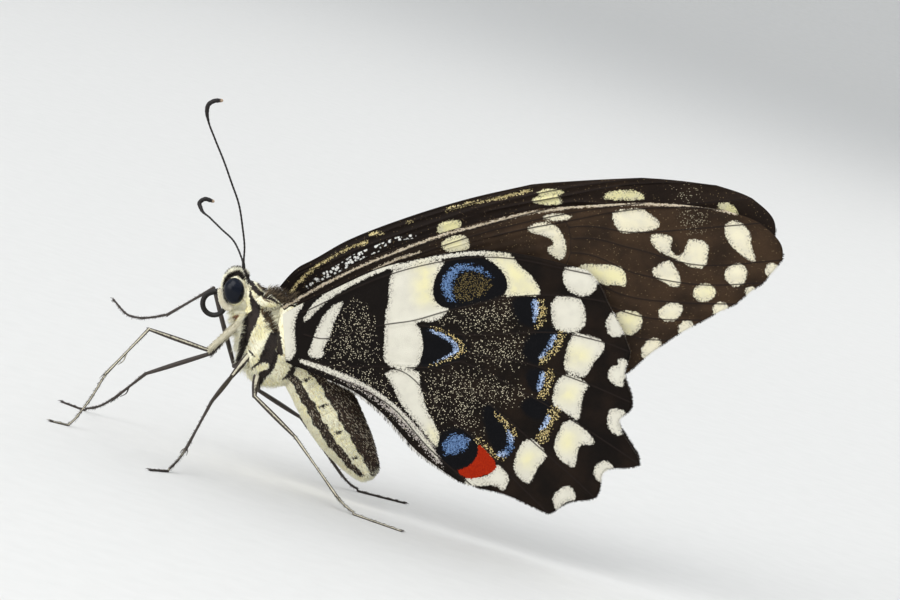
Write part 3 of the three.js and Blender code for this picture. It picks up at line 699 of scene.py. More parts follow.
# For each coat: faces, number of blades, lean, length, width, seed, and how the blades stand.
COATS = {
    "thorax_scales": (chest, 5200, (0.5, 0, -0.85), 0.40, 0.10, 21,
                      {"lock": 0.35, "spread": 0.15, "curl": 3.0, "flat": 0.3}),
    "thorax_hair": (chest, 1500, (0.5, 0, -0.85), 0.62, 0.06, 27,
                    {"lock": 0.6, "spread": 0.3, "curl": 1.4, "flat": 0.6}),
    "nape_hair": (nape, 3000, (0.9, 0, -0.3), 0.42, 0.055, 24, {"spread": 0.4, "curl": 2.0}),
    "shoulder_hair": (shoulder, 2000, (0.85, 0, 0.4), 0.95, 0.055, 28, {"spread": 0.3, "curl": 1.5}),
    "throat_hair": (throat, 1300, (-0.25, 0, -1), 0.95, 0.06, 25, {"lock": 0.4, "spread": 0.3}),
    "cheek_hair": (cheek, 2200, (0.1, 0, -1), 0.34, 0.05, 26, {"spread": 0.3, "curl": 1.2}),
    "head_hair": (crown, 4200, (0.25, 0, 0.6), 0.42, 0.05, 22, {"spread": 0.35, "curl": 0.5}),
    "abdomen_scales": (face_belly, 15500, None, 0.30, 0.11, 23, {"spread": 0.12, "curl": 3.0, "flat": 0.35}),
}
rng = np.random.default_rng(11)
for name, (mask, count, lean, length, width, seed, how) in COATS.items():
    chosen = rng.choice(np.flatnonzero(mask), count)
    if lean is None:
        # On the abdomen the scales lie along its axis, towards the tail.
        lean = np.gradient(belly_line, axis=0)[nearest_belly(centre_of[chosen])]
    coat(name, chosen, unit(np.asarray(lean)), length, width, seed, **how)

# ---- Eyes ---------------------------------------------------------------------------------------------
# Compound eyes: smooth blue-black domes of thousands of tiny horny facets, with a wet gloss. Each is set
# into a side of the head.


def facets(shade, place):
    cell = shade.cells(place, 26.0)
    sheen = shade.noise(place, 0.8, 2.0)
    return {
        "Base Color": sheen.blend(rgb(0.001, 0.0015, 0.0035), rgb(0.003, 0.006, 0.016)),
        "Roughness": 0.16 + cell * 0.10,
        "Normal": shade.bump(cell, 0.00001, 0.12),
    }


wet = {"Specular IOR Level": 0.20, "Coat Weight": 0.04, "Coat Roughness": 0.1}
eye_finish = finish("eye_facets", facets, wet)
SIDES = {"left": -1, "right": 1}
for word, side in SIDES.items():
    points, faces = ellipsoid((ex, side * ey, ez), (hx, hy, hz), 46, 64)
    attach(make(f"compound_eye_{word}", placed(points), faces, eye_finish), "compound_eye", f"eye_{word}")

# ---- Palps, tongue and antennae -----------------------------------------------------------------------
# Two hairy palps rise before the face. Between them hangs the tongue, a ringed horny tube coiled like a
# watch spring. Two thin ringed antennae, jointed to the crown of the head, end in hooked clubs.


def tube(line, radius, sides=12, about=(0, 1, 0)):
    """At each point of the line stands a ring, radius (first cos a + second sin a), where first is square
    to the line and to about, and second to both. Three shrinking rings and a pole round off each end. Also
    gives each point's outward direction and how far along it is."""
    line = np.asarray(line, float)
    along = unit(np.gradient(line, axis=0))
    radius = np.broadcast_to(np.asarray(radius, float), len(line))
    steps = np.array([-0.95, -0.75, -0.4])
    shrink = np.sqrt(1 - steps**2)
    before = line[:1] + steps[:, None] * radius[0] * along[:1]
    beyond = line[-1:] - steps[::-1, None] * radius[-1] * along[-1:]
    line = np.vstack([before, line, beyond])
    radius = np.r_[radius[0] * shrink, radius, radius[-1] * shrink[::-1]]
    along = np.vstack([along[:1].repeat(3, 0), along, along[-1:].repeat(3, 0)])
    first = unit(np.cross(along, np.asarray(about, float)))
    second = np.cross(along, first)
    a = np.linspace(0, 2 * np.pi, sides, endpoint=False)
    out = first[:, None] * np.cos(a)[:, None] + second[:, None] * np.sin(a)[:, None]
    rings = line[:, None] + out * radius[:, None, None]
    poles = np.stack([line[0] - 0.05 * radius[3] * along[0], line[-1] + 0.05 * radius[-4] * along[-1]])
    points, faces = capped(rings, poles)
    way = np.r_[np.repeat(np.linspace(0, 1, len(line)), sides), 0, 1]
    return points, faces, np.vstack([out.reshape(-1, 3), -along[:1], along[-1:]]), way


def horn(shade, place):
    """Black cuticle; the part marked bare is brown and pale, as at the tip of a club."""
    wear = shade.noise(place, 3.0, 3.0)
    black = wear.blend(rgb(0.004, 0.0035, 0.0035), rgb(0.014, 0.010, 0.008))
    colour = shade.read("bare").step(0.3, 0.9).blend(black, rgb(0.42, 0.30, 0.20))
    return {
        "Base Color": colour,
        "Roughness": 0.35 + wear * 0.25,
        "Normal": shade.bump(shade.noise(place, 14.0, 2.0), 0.00003, 0.4),
    }


polish = {"Specular IOR Level": 0.3, "Coat Weight": 0.04, "Coat Roughness": 0.3}
horn_finish = finish("dark_cuticle", horn, polish)
SHAFT_RADIUS, CLUB_SWELL, CLUB_LENGTH, SWELL_LENGTH = 0.098, 0.125, 3.6, 1.9
JOINT_LENGTH, JOINT_SWELL = 0.42, 0.008
ROOT_AT, ROOT_SWELL = 0.8, 0.06
SHAFTS = {
    "left": [
        (-3.95, -0.45, 2.7), (-3.95, -0.45, 3.35), (-3.8, -0.75, 5.4), (-3.95, -1.1, 7.3),
        (-4.3, -1.6, 9.8), (-4.95, -2.2, 11.9), (-5.65, -2.8, 14.1), (-6.5, -3.4, 16.4),
        (-7.1, -3.8, 18.2), (-7.22, -3.9, 19.1), (-7.05, -3.95, 19.8), (-6.5, -3.95, 20.15),
        (-5.75, -3.95, 20.2),
    ],
    "right": [
        (-3.95, 0.45, 2.7), (-3.95, 0.45, 3.3), (-4.3, 1.0, 4.3), (-5.0, 2.2, 5.55), (-6.5, 4.2, 6.75),
        (-7.75, 6.0, 7.7), (-8.8, 7.5, 8.55), (-8.96, 7.8, 9.1), (-8.5, 7.9, 9.45), (-7.6, 7.9, 9.25),
    ],
}


def ease(t):
    """From 0 to 1 with level ends: 3 t^2 - 2 t^3, and constant beyond them."""
    t = np.clip(t, 0, 1)
    return t * t * (3 - 2 * t)


for word, shaft in SHAFTS.items():
    line = through(shaft, 260)
    far = np.linspace(0, lengths_along(line)[-1], len(line))
    to_tip = far[-1] - far
    club = ease((CLUB_LENGTH - to_tip) / SWELL_LENGTH) * np.sqrt(np.clip((to_tip + 0.12) / 0.5, 0, 1))
    ringed = JOINT_SWELL * np.sin(2 * np.pi * far / JOINT_LENGTH)
    root = ROOT_SWELL * np.exp(-(((far - ROOT_AT) / 0.4) ** 2))
    points, faces, _, way = tube(line, SHAFT_RADIUS + CLUB_SWELL * club + ringed + root)
    bare = np.clip((way - 0.972) / 0.02, 0, 1)
    feeler = make(f"feeler_{word}", placed(points), faces, horn_finish, {"bare": bare})
    attach(feeler, "dark_cuticle", f"antenna_{word}")

# The tongue leaves the mouth at its first points, then coils: centre in x and z, radii and number of turns.
MOUTH = [(-4.9, 0, 0.5), (-5.6, 0, 0.85), (-6.4, 0, 0.92)]
COIL_X, COIL_Z, COIL_OUTER, COIL_INNER, COIL_TURNS = -6.93, -0.43, 1.22, 1.0, 1.8
TONGUE_RADII, TONGUE_RING = (0.255, 0.155), 0.006  # it thins towards its tip, and is ringed
turn = np.linspace(0, 1, 60)
angle = np.pi * (0.56 + 2 * COIL_TURNS * turn)
away = COIL_OUTER + (COIL_INNER - COIL_OUTER) * turn
spring = np.stack([COIL_X + away * np.cos(angle), 0.16 * turn, COIL_Z + away * np.sin(angle)], -1)
tongue = through(np.vstack([MOUTH, spring]), 400)
t = np.linspace(0, 1, len(tongue))
rings_of = TONGUE_RING * np.sin(t * 400)
points, faces, _, way = tube(tongue, np.linspace(*TONGUE_RADII, len(tongue)) + rings_of, 14)
coil = make("coiled_tongue", placed(points), faces, horn_finish, {"bare": 0 * way})
attach(coil, "dark_cuticle", "proboscis")

PALP = [(-5.3, 0.74, -0.75), (-5.65, 0.8, -0.6), (-5.95, 0.9, -0.15), (-6.1, 0.9, 0.4), (-6.18, 0.84, 0.98)]
PALP_RADII, PALP_HAIRS = (0.31, 0.19), 1500


def palp_coat(shade, place):
    odd = shade.noise(place, 4.0, 2.0)
    stripe = (shade.read("front") + (odd - 0.5) * 0.5).step(-0.6, -0.9)
    colour = stripe.blend(odd.blend(rgb(1.0, 0.97, 0.84), rgb(0.84, 0.77, 0.58)), rgb(0.035, 0.028, 0.024))
    return {"Base Color": colour, "Roughness": 0.8 - stripe * 0.1}


palp_finish = finish("palp_hair", palp_coat, {"Specular IOR Level": 0.3})
for word, side in SIDES.items():
    line = through([(x, side * y, z) for x, y, z in PALP], 60)
    core, core_faces, out, _ = tube(line, np.linspace(*PALP_RADII, len(line)), 16)
    seat = np.random.default_rng(40 + side).integers(16, len(core) - 18, PALP_HAIRS)
    blades = tufts(core[seat], out[seat], unit(line[-1] - line[0]), 0.24, 0.05, 41 + side)
    points, faces = joined([(core, core_faces), blades])
    front = np.r_[-out[:, 0], np.repeat(-out[seat, 0], 7)]
    palp = make(f"hairy_palp_{word}", placed(points), faces, palp_finish, {"front": front})
    attach(palp, "body_scales", f"palp_{word}")

# ---- Legs ---------------------------------------------------------------------------------------------
# Six slender horny legs: hip, thigh, shin and a foot of five joints with two claws, dark with a pale line of
# scales down the outer side, and short stiff spines. They are jointed to the underside of the thorax.
# For each, the joints from the hip to the ankle, and then the foot's own points.
LEGS = {
    "fore_left": (
        [(-2.7, -1.0, 15.0), (-3.6, -1.2, 13.9), (-5.6, -2.2, 10.8), (-11.8, -4.3, 11.35),
         (-14.55, -5.5, 6.0)],
        [(-15.6, -6.0, 2.3), (-16.7, -6.5, 0.2), (-18.3, -7.2, 0.2)],
    ),
    "fore_right": (
        [(-2.7, 1.0, 15.0), (-3.6, 1.2, 13.9), (-5.5, 2.2, 10.0), (-11.3, 4.3, 5.8), (-13.7, 5.5, 2.3)],
        [(-15.1, 6.0, 0.9), (-16.6, 6.5, 0.2), (-18.8, 7.4, 0.2)],
    ),
    "mid_left": (
        [(-1.4, -1.3, 12.0), (-2.0, -1.7, 10.6), (-2.6, -2.75, 9.1), (-3.6, -8.2, 6.8),
         (-4.45, -13.8, 2.3)],
        [(-4.9, -15.0, 1.1), (-5.5, -16.3, 0.2), (-7.0, -18.6, 0.2)],
    ),
    "mid_right": (
        [(-1.4, 1.3, 12.0), (-2.0, 1.7, 10.6), (-2.9, 2.8, 9.4), (-7.2, 4.2, 16.2), (-11.15, 9.4, 11.6)],
        [(-12.5, 10.4, 10.8), (-13.8, 11.4, 10.2), (-15.2, 12.3, 10.0), (-17.1, 13.3, 10.9)],
    ),
    "hind_left": (
        [(-0.2, -1.2, 10.4), (-0.2, -1.5, 9.1), (0.1, -2.6, 7.8), (5.3, -5.9, 5.5), (11.0, -7.2, 1.2)],
        [(12.3, -7.5, 0.5), (13.8, -7.9, 0.2), (18.0, -9.0, 0.2)],
    ),
    "hind_right": (
        [(-0.2, 1.2, 10.4), (-0.2, 1.5, 9.1), (0.1, 2.6, 7.8), (5.0, 6.1, 5.9), (10.6, 7.6, 1.3)],
        [(11.9, 8.0, 0.5), (13.4, 8.4, 0.2), (17.6, 9.8, 0.2)],
    ),
}


def leg_coat(shade, place):
    """Dark horn, with a line of pale scales where the surface faces outwards."""
    odd = shade.noise(place, 5.0, 3.0)
    line = (shade.read("outward") + (odd - 0.5) * 0.2).step(0.84, 0.94)
    horny = odd.blend(rgb(0.016, 0.012, 0.010), rgb(0.060, 0.042, 0.032))
    return {
        "Base Color": line.blend(horny, rgb(0.66, 0.61, 0.46)),
        "Roughness": 0.45 + line * 0.3,
        "Normal": shade.bump(shade.noise(place, 12.0, 2.0), 0.00003, 0.4),
    }


leg_finish = finish("leg_scales", leg_coat, {"Specular IOR Level": 0.4})
HIP, FORE_HIP, HIP_END, THIGH, THIGH_SWELL, SHIN = 0.50, 0.42, 0.24, 0.19, 0.075, 0.155
FOOT, FOOT_SWELL, FOOT_POINTS = 0.115, 0.03, 110
FOOT_JOINTS = np.array([0.42, 0.62, 0.76, 0.88, 1.0])
FOOT_REST = 0.32  # below this height the foot lies on the floor
SPINES, HIP_HAIRS = 420, 700
CLAW, SPUR, COMB = np.linspace([0.055, 0.075, 0.09], [0.015, 0.02, 0.03], 12).T
for word, (joints, toes) in LEGS.items():
    side = SIDES[word.split("_")[1]]
    hairy = word.startswith("fore")
    socket, hip_middle, hip_end, knee, ankle = np.array(joints)
    down = unit(ankle - knee)
    parts, outs = [], []

    def limb(line, radius, sides=12):
        points, faces, out, _ = tube(line, radius, sides, about=(0.3, side, 0.2))
        parts.append((points, faces))
        outs.append(out)

    t = np.linspace(0, 1, 26)
    limb(through([socket, hip_middle, hip_end], 26), np.linspace(FORE_HIP if hairy else HIP, HIP_END, 26))
    limb(np.linspace(hip_end, knee, 26), THIGH + THIGH_SWELL * np.sin(np.pi * t) ** 0.8 - 0.03 * t)
    shin = np.linspace(knee, ankle, 26)
    limb(shin, SHIN + 0.02 * np.cos(t * 2 * np.pi) - 0.015 * t)
    # The foot's five joints are each a little swollen at the end.
    foot = through(np.vstack([ankle, toes]), FOOT_POINTS)
    s = np.linspace(0, 1, FOOT_POINTS)
    swell = np.exp(-(((s[:, None] - FOOT_JOINTS) / 0.018) ** 2)).sum(1)
    thin = FOOT - 0.02 * s + FOOT_SWELL * swell
    gap = foot[:, 2] - thin
    foot[:, 2] -= np.minimum(gap, 0) + np.where(foot[:, 2] < FOOT_REST, np.maximum(gap, 0), 0)
    limb(foot, thin)
    ahead = unit(foot[-1] - foot[-12])
    across = unit(np.cross(ahead, (0, 0, 1)))
    toe, heel, middle = foot[-1], shin[-2], shin[13]
    for swing in (-across, across):
        arched = toe + 0.22 * ahead + 0.16 * swing + (0, 0, 0.05)
        limb(through([toe, arched, toe + 0.42 * ahead + 0.22 * swing - (0, 0, 0.02)], 12), CLAW, 8)
        spur = [heel + 0.45 * down + 0.32 * swing, heel + down + 0.42 * swing]
        limb(through([heel, *spur], 12), SPUR, 8)
    if hairy:
        inner = unit(np.cross(down, (0, 1, 0)))
        comb = [middle + 0.8 * down + 0.35 * inner, middle + 1.5 * down + 0.25 * inner]
        limb(through([middle, *comb], 12), COMB, 8)
    # Stiff spines along the shin and foot.
    own = np.random.default_rng(60 + len(word) + side)
    core, out = np.vstack([parts[2][0], parts[3][0]]), np.vstack(outs[2:4])
    seat = own.integers(0, len(core), SPINES)
    spines, spine_faces = tufts(core[seat], out[seat], down, 0.24, 0.035, 61, curl=1.0)
    spines[:, 2] = np.maximum(spines[:, 2], 0.01)
    pieces = parts + [(spines, spine_faces)]
    outward = np.vstack(outs) @ unit(np.array([0.0, side, 0.35]))
    outward = np.r_[outward, np.repeat(-1.0, len(spines))]
    if hairy:
        # The hip is pale, less so towards the thigh, and its hairs stand out and down it.
        hip = len(outs[0])
        outward[:hip] += 1.4 - 0.9 * np.clip(np.linspace(-1.4, 1.0, hip), 0, 1)
        seat = own.integers(40, hip - 40, HIP_HAIRS)
        along = unit(hip_end - hip_middle)
        pieces.append(tufts(parts[0][0][seat], outs[0][seat], along, 0.34, 0.06, 62, curl=2.0))
        outward = np.r_[outward, np.repeat(outward[seat], 7)]
    points, faces = joined(pieces)
    leg = make(f"leg_{word}", standing(points), faces, leg_finish, {"outward": outward})
    attach(leg, "leg_cuticle", *[f"{part}_{word}" for part in ("coxa", "femur", "tibia", "tarsus")])

# ---- Wings --------------------------------------------------------------------------------------------
# Four thin stiff membranes on branching hollow veins, covered on both faces with dust-like scales that
# make the markings. Each is hinged to the side of the thorax; at rest all stand together over the back.
FOREWING_VEINS = {
    "costa": (None, 0, [
        (2, 3.4, 1.45), (4, 7.2, 3.6), (7, 13.0, 5.85), (10, 19.2, 7.75), (13, 25.5, 9.2),
    ]),
    "Sc": (1, -0.008, [
        (2, 3.6, 1.05), (4, 7.6, 3.15), (7, 14.0, 5.65), (10, 20.5, 7.6), (13, 27.0, 9.35),
    ]),
    "R1": (1, -0.012, [
        (2, 3.9, 0.75), (4, 8.3, 2.75), (7, 16.0, 5.5), (9, 21.5, 7.2), (11, 29.0, 8.85),
        (13, 36.5, 9.88),
    ]),
    "R4": (5, -0.008, [
        (2, 4.2, 0.4), (4, 13.0, 3.85), (5, 20.8, 6.4), (7, 28.3, 7.95), (9, 34.5, 9.1), (11, 39.5, 9.4),
        (13, 44.0, 9.13),
    ]),
    "R5": (7, -0.018, [
        (2, 4.4, 0.1), (4, 13.4, 3.4), (7, 28.6, 7.35), (9, 35.2, 6.85), (11, 41.8, 7.3),
        (13, 47.6, 7.8),
    ]),
    "M1": (7, 0, [
        (2, 4.5, -0.15), (4, 13.4, 2.8), (7, 28.8, 6.2), (9, 35.0, 5.25), (11, 41.6, 3.6),
        (13, 49.8, 4.1),
    ]),
    "M2": (7, 0.004, [
        (2, 4.6, -0.4), (4, 13.3, 2.1), (7, 28.8, 4.8), (9, 35.3, 2.75), (11, 41.5, 1.65),
        (13, 47.9, 1.8),
    ]),
    "M3": (6, 0.004, [
        (2, 4.6, -0.65), (4, 13.1, 1.55), (6, 24.3, 3.0), (7, 28.2, 3.25), (9, 34.0, 0.6),
        (11, 39.5, -0.15), (13, 45.2, -0.3),
    ]),
    "Cu1": (5, 0.004, [
        (2, 4.6, -0.9), (4, 13.0, 1.2), (5, 17.9, 1.9), (7, 24.0, 2.5), (9, 29.8, 0.5), (11, 36.0, -1.6),
        (13, 42.0, -1.95),
    ]),
    "Cu2": (1, 0.004, [
        (2, 4.5, -1.2), (4, 11.4, 0.4), (6, 17.7, 1.45), (8, 23.8, 0.4), (10, 29.8, -1.9),
        (12, 35.4, -3.7), (13, 38.5, -3.97),
    ]),
    "2A": (1, 0, [
        (2, 4.3, -1.8), (5, 11.8, -2.5), (9, 23.0, -4.5), (13, 35.0, -6.75),
    ]),
    "inner margin": (None, 0, [
        (2, 4.1, -2.5), (5, 11.6, -3.9), (9, 22.6, -5.6), (13, 34.2, -7.4),
    ]),
}
HINDWING_VEINS = {
    "costa": (None, 0, [
        (1, 1.9, -0.1), (2, 4.6, 1.0), (4, 9.6, 3.25), (6, 14.5, 4.5), (8, 19.4, 5.25), (10, 24.0, 4.75),
        (12, 28.0, 3.85), (13, 30.1, 3.25),
    ]),
    "Sc": (1, -0.008, [
        (1, 2.1, -0.9), (2, 4.7, 0.2), (4, 9.8, 2.4), (6, 14.5, 3.75), (8, 19.2, 4.45), (10, 23.6, 4.25),
        (12, 28.2, 3.3), (13, 30.8, 2.75),
    ]),
    "Rs": (1, -0.006, [
        (1, 2.3, -3.0), (2, 4.7, -3.5), (4, 10.2, -2.3), (5, 13.2, -1.85), (6, 16.5, -0.9),
        (8, 22.5, 0.4), (10, 27.0, 0.7), (12, 30.7, 0.3), (13, 32.4, 0.0),
    ]),
    "M1": (5, 0.02, [
        (2, 5.0, -4.0), (4, 10.5, -2.85), (5, 13.5, -2.35), (7, 18.2, -3.3), (10, 27.0, -3.05),
        (12, 32.0, -4.0), (13, 34.7, -5.0),
    ]),
    "M2": (7, 0.05, [
        (2, 5.1, -4.75), (5, 13.0, -4.5), (7, 18.7, -5.2), (9, 24.5, -6.2), (11, 30.0, -8.0),
        (13, 34.9, -10.1),
    ]),
    "M3": (6, 0.04, [
        (2, 5.0, -5.35), (5, 12.6, -6.1), (6, 16.0, -6.35), (7, 18.1, -6.1), (9, 24.0, -9.0),
        (11, 29.8, -12.4), (13, 35.7, -16.3),
    ]),
    "Cu1": (5, 0.014, [
        (2, 5.0, -5.75), (4, 10.3, -6.35), (5, 12.4, -6.6), (6, 15.7, -6.8), (8, 20.5, -10.1),
        (10, 25.2, -14.2), (12, 29.2, -17.8), (13, 31.2, -19.7),
    ]),
    "Cu2": (1, 0.032, [
        (2, 4.9, -6.2), (5, 12.0, -7.0), (7, 16.0, -11.0), (9, 19.7, -14.2), (11, 23.0, -17.7),
        (13, 26.6, -21.3),
    ]),
    "2A": (1, 0, [
        (2, 4.7, -7.0), (4, 7.6, -8.35), (6, 11.0, -10.5), (9, 14.6, -14.6), (13, 18.9, -18.45),
    ]),
    "inner margin": (None, 0, [
        (2, 4.4, -7.4), (4, 7.3, -8.8), (6, 10.0, -11.0), (9, 13.5, -14.9), (13, 17.5, -18.0),
    ]),
}
ROWS = 13
# For each pair: veins, hinge line, the cell's end (row, first and last vein), distance from the middle
# plane at the root and at rest, where behind the hinge it changes, grid rows, and grid columns to a space.
FOREWING = dict(veins=FOREWING_VEINS, hinge=[(-0.1, -0.3), (1.4, -2.0)], cell=(7, 3, 7), root=2.85, rest=0.6,
                start=2.3, stop=8.2, rows=200, cols=15)
HINDWING = dict(veins=HINDWING_VEINS, hinge=[(0.2, -1.0), (0.5, -5.8)], cell=(7, 3, 5), root=4.25, rest=1.78,
                start=2.2, stop=8.8, rows=150, cols=21)
# The right forewing is held forward, in x and z: growing from before the root, and in full from row 1.6.
ADVANCE = {"forewing_right": (-0.7, 2.35)}
ADVANCE_START, ADVANCE_FULL = -2, 1.6


def vein_curve(knots):
    """x and z of a vein at any row: a cubic between knots (row, x, z), carried on straight past the last."""
    k = np.asarray(knots, float)
    near = np.clip(np.arange(len(k))[:, None] + [-1, 1], 0, len(k) - 1)
    slope = (k[near[:, 1], 1:] - k[near[:, 0], 1:]) / (k[near[:, 1], :1] - k[near[:, 0], :1])

    def at(row):
        row = np.asarray(row, float)
        i = np.clip(np.searchsorted(k[:, 0], row) - 1, 0, len(k) - 2)
        span = (k[i + 1, 0] - k[i, 0])[..., None]
        u = np.minimum((row - k[i, 0])[..., None] / span, 1.0)
        point = cubic(u, span, k[i, 1:], k[i + 1, 1:], slope[i], slope[i + 1])
        return point + np.maximum(row - k[-1, 0], 0)[..., None] * slope[-1]

    return at


def wing_plan(wing):
    """The flat plan of a wing: a grid whose rows run from the hinge to the margin and whose columns lie
    along and between the veins, (1 - share) a + share b. Gives x and z, how far each point bows out between
    its veins, and the veins' paths."""
    lines = list(wing["veins"].values())
    hinge = np.array(wing["hinge"])
    shares = np.linspace(0, 1, len(lines))[:, None]
    roots = hinge[0] + shares * (hinge[1] - hinge[0])
    curves = [vein_curve([(0, *root)] + list(knots)) for root, (_, _, knots) in zip(roots, lines)]
    row = np.linspace(0, ROWS, wing["rows"])[:, None]
    blocks, folds = [], []
    for i, (_, notch, _) in enumerate(lines[:-1]):
        share = np.arange(wing["cols"])[None] / wing["cols"]
        arch = np.sin(np.pi * share) ** (2 if notch > 0 else 1)
        inward = 1 - notch * arch * (row / ROWS) ** 6
        a, b = curves[i](row * inward), curves[i + 1](row * inward)
        blocks.append(a + share[..., None] * (b - a))
        folds.append(np.sin(np.pi * share) ** 2 * (row / ROWS))
    blocks.append(curves[-1](row))
    folds.append(0 * row)
    plan, fold = np.concatenate(blocks, 1), np.concatenate(folds, 1)
    paths = [curve(np.linspace(start, ROWS, 40)) for curve, (start, _, _) in zip(curves, lines) if start]
    end, first, last = wing["cell"]
    paths.append(np.array([curves[i](float(end)) for i in range(first, last + 1)]))
    return plan, fold, paths


MEMBRANE, RIDGE, RIDGE_WIDTH, HINGE_PAD = 0.13, 0.07, 0.13, 0.12
BOWED = 0.10  # how far the membrane stands out between two veins at the margin


def wing_sheet(wing, name, side, plan, fold, vein):
    """Two faces of the membrane over the plan, y = middle + half and y = middle - half, thicker along the
    veins and at the hinge, and closed round the rim. The middle swings in from the root to its place at
    rest."""
    x, z = plan[..., 0], plan[..., 1]
    swung = ease((past_hinge(x, z) - wing["start"]) / (wing["stop"] - wing["start"]))
    middle = wing["root"] + (wing["rest"] - wing["root"]) * swung + BOWED * fold
    row = np.linspace(0, 1, wing["rows"])[:, None]
    ridge = RIDGE * np.exp(-((vein / RIDGE_WIDTH) ** 2))
    half = MEMBRANE / 2 + ridge + HINGE_PAD * np.clip(1 - row * 6, 0, 1)
    half = half * (0.35 + 0.65 * np.clip((1 - row) * 40, 0, 1))
    moved = ease((row * ROWS - ADVANCE_START) / (ADVANCE_FULL - ADVANCE_START))
    dx, dz = ADVANCE.get(name, (0, 0))
    x, z = x + moved * dx, z + moved * dz
    outer = np.stack([x, side * (middle + half), z], -1)
    inner = np.stack([x, side * (middle - half), z], -1)
    rows, cols = x.shape
    under = rows * cols
    face = quads(rows, cols)
    grid = np.arange(under).reshape(rows, cols)
    edge = np.r_[grid[0], grid[1:, -1], grid[-1, -2::-1], grid[-2::-1, 0]]
    rim = np.stack([edge[:-1], edge[1:], edge[1:] + under, edge[:-1] + under], -1)
    faces = [face, face[:, ::-1] + under, rim[:, ::-1]]
    if side > 0:
        faces = [block[:, ::-1] for block in faces]
    return np.concatenate([outer, inner]).reshape(-1, 3), faces


# The markings, drawn as outlines. Cream and white ones share a list, with one more list for each face alone;
# the yellow list says which are yellower.
FOREWING_MARKS = {
    "under": [
        [(439, 245), (450, 236), (466, 234), (470, 244), (468, 251), (450, 254)],
        [(525, 230), (534, 222.5), (547, 222), (558, 227), (563.5, 236.5), (566.5, 248), (563, 261),
         (555, 257), (548, 253), (547, 247), (555, 244), (550.5, 238), (540, 234)],
        [(611, 211), (626, 208.5), (641, 207), (653, 216), (661, 223.5), (653, 230), (634, 232),
         (620, 233), (613, 222)],
        [(722, 226), (731, 219), (741, 222), (750, 234), (749.5, 243), (756, 263), (745, 258),
         (735, 250), (726, 240)],
    ],
    "upper": [
        [(443.6, 251), (446.6, 246.7), (458.6, 243.7), (467, 244.3), (468, 251), (460, 258), (444, 258)],
        [(538, 224), (542.6, 220.3), (550.6, 219), (565, 219), (570, 226), (566.6, 229), (550.6, 229),
         (539.4, 227)],
        [(610, 220), (614.6, 216), (627.4, 214), (643.4, 214.5), (651.4, 220), (650.4, 224.5),
         (611.4, 224)],
        [(723.4, 231), (725, 226.7), (733, 226), (739.4, 229), (744, 236.5), (747, 250), (740, 248),
         (728, 236)],
    ],
    "cream": [
        [(541, 216.5), (552, 213), (564, 213), (574, 216.5), (564, 220.5), (550, 220.5)],
        [(575, 270), (583, 263), (600, 264), (617, 265.5), (624, 268.5), (627, 286), (618, 285),
         (600, 284)],
        [(648, 235), (659, 233), (671, 236), (672, 241), (669, 249), (676, 256), (684, 252), (686, 242),
         (690, 238), (708, 242), (707, 256), (705, 267), (694, 268), (682, 262), (667, 255), (655, 249)],
        [(649, 272), (657, 264.5), (668, 259), (675, 266), (681, 281), (676, 288), (663, 282)],
        [(723, 272), (730, 264), (740, 262), (747, 270), (745, 281), (735, 287), (726, 282)],
        [(692, 290), (699, 283), (709, 283), (716, 290), (712, 299), (702, 302), (694, 298)],
        [(657, 312), (664, 304), (675, 301), (683, 306), (680, 316), (671, 322), (660, 319)],
        [(614, 315), (622, 310), (640, 312), (643, 322), (636, 334), (622, 336)],
        [(763, 269), (768, 262), (775, 263), (779, 269), (773, 278), (767, 276)],
        [(743, 291), (748, 285), (755, 287), (755, 293), (748, 299)],
        [(711, 308), (717, 301), (725, 302), (728, 308), (720, 316), (713, 314)],
        [(677, 327), (684, 319), (692, 321), (693, 328), (686, 335), (679, 334)],
        [(640, 350), (648, 338), (659, 338), (662, 346), (652, 357), (643, 360)],
    ],
    "yellow": [
        [(570, 274), (578, 258), (630, 262), (632, 290), (600, 290)],
        [(614, 315), (622, 308), (644, 310), (643, 326), (636, 338), (620, 338)],
        [(692, 290), (699, 281), (712, 281), (718, 290), (712, 301), (702, 304), (692, 300)],
        [(436, 255), (436, 232), (472, 232), (472, 255)],
    ],
    "dust": [
        [(680, 210), (700, 210), (704, 222), (696, 231), (682, 226)],
    ],
    "lines": [
        [(284, 306), (300, 297), (320, 286), (340, 276.5), (350, 271.5), (370, 262.5), (390, 254.5),
         (410, 246.5), (430, 239), (450, 232.5), (470, 227.5), (500, 219.5), (530, 212.5), (570, 207),
         (600, 205), (640, 203.5), (700, 205.5), (735, 213)],
        [(375, 269), (400, 258), (420, 252)],
    ],
    "streaks": [
        [(285, 316), (295.5, 311), (306.6, 305), (316.6, 296.7), (326.6, 288.7), (336.6, 282.2),
         (346.6, 276.7), (356.6, 271.7), (366.6, 268.2), (373, 266.7)],
        [(377, 258.8), (390, 257)],
        [(414, 247), (420, 245.5)],
        [(452, 234.7), (477, 227.7), (507, 221.7), (537, 214.7)],
    ],
    "beads": [
        [(312, 313), (318.6, 308), (332.6, 298), (346.6, 290.5), (359.6, 281.7), (378.6, 273.7),
         (391.6, 268.5), (405.6, 262.7), (421, 260.5)],
        [(325, 305), (350, 292), (372, 279), (385, 274)],
    ],
}
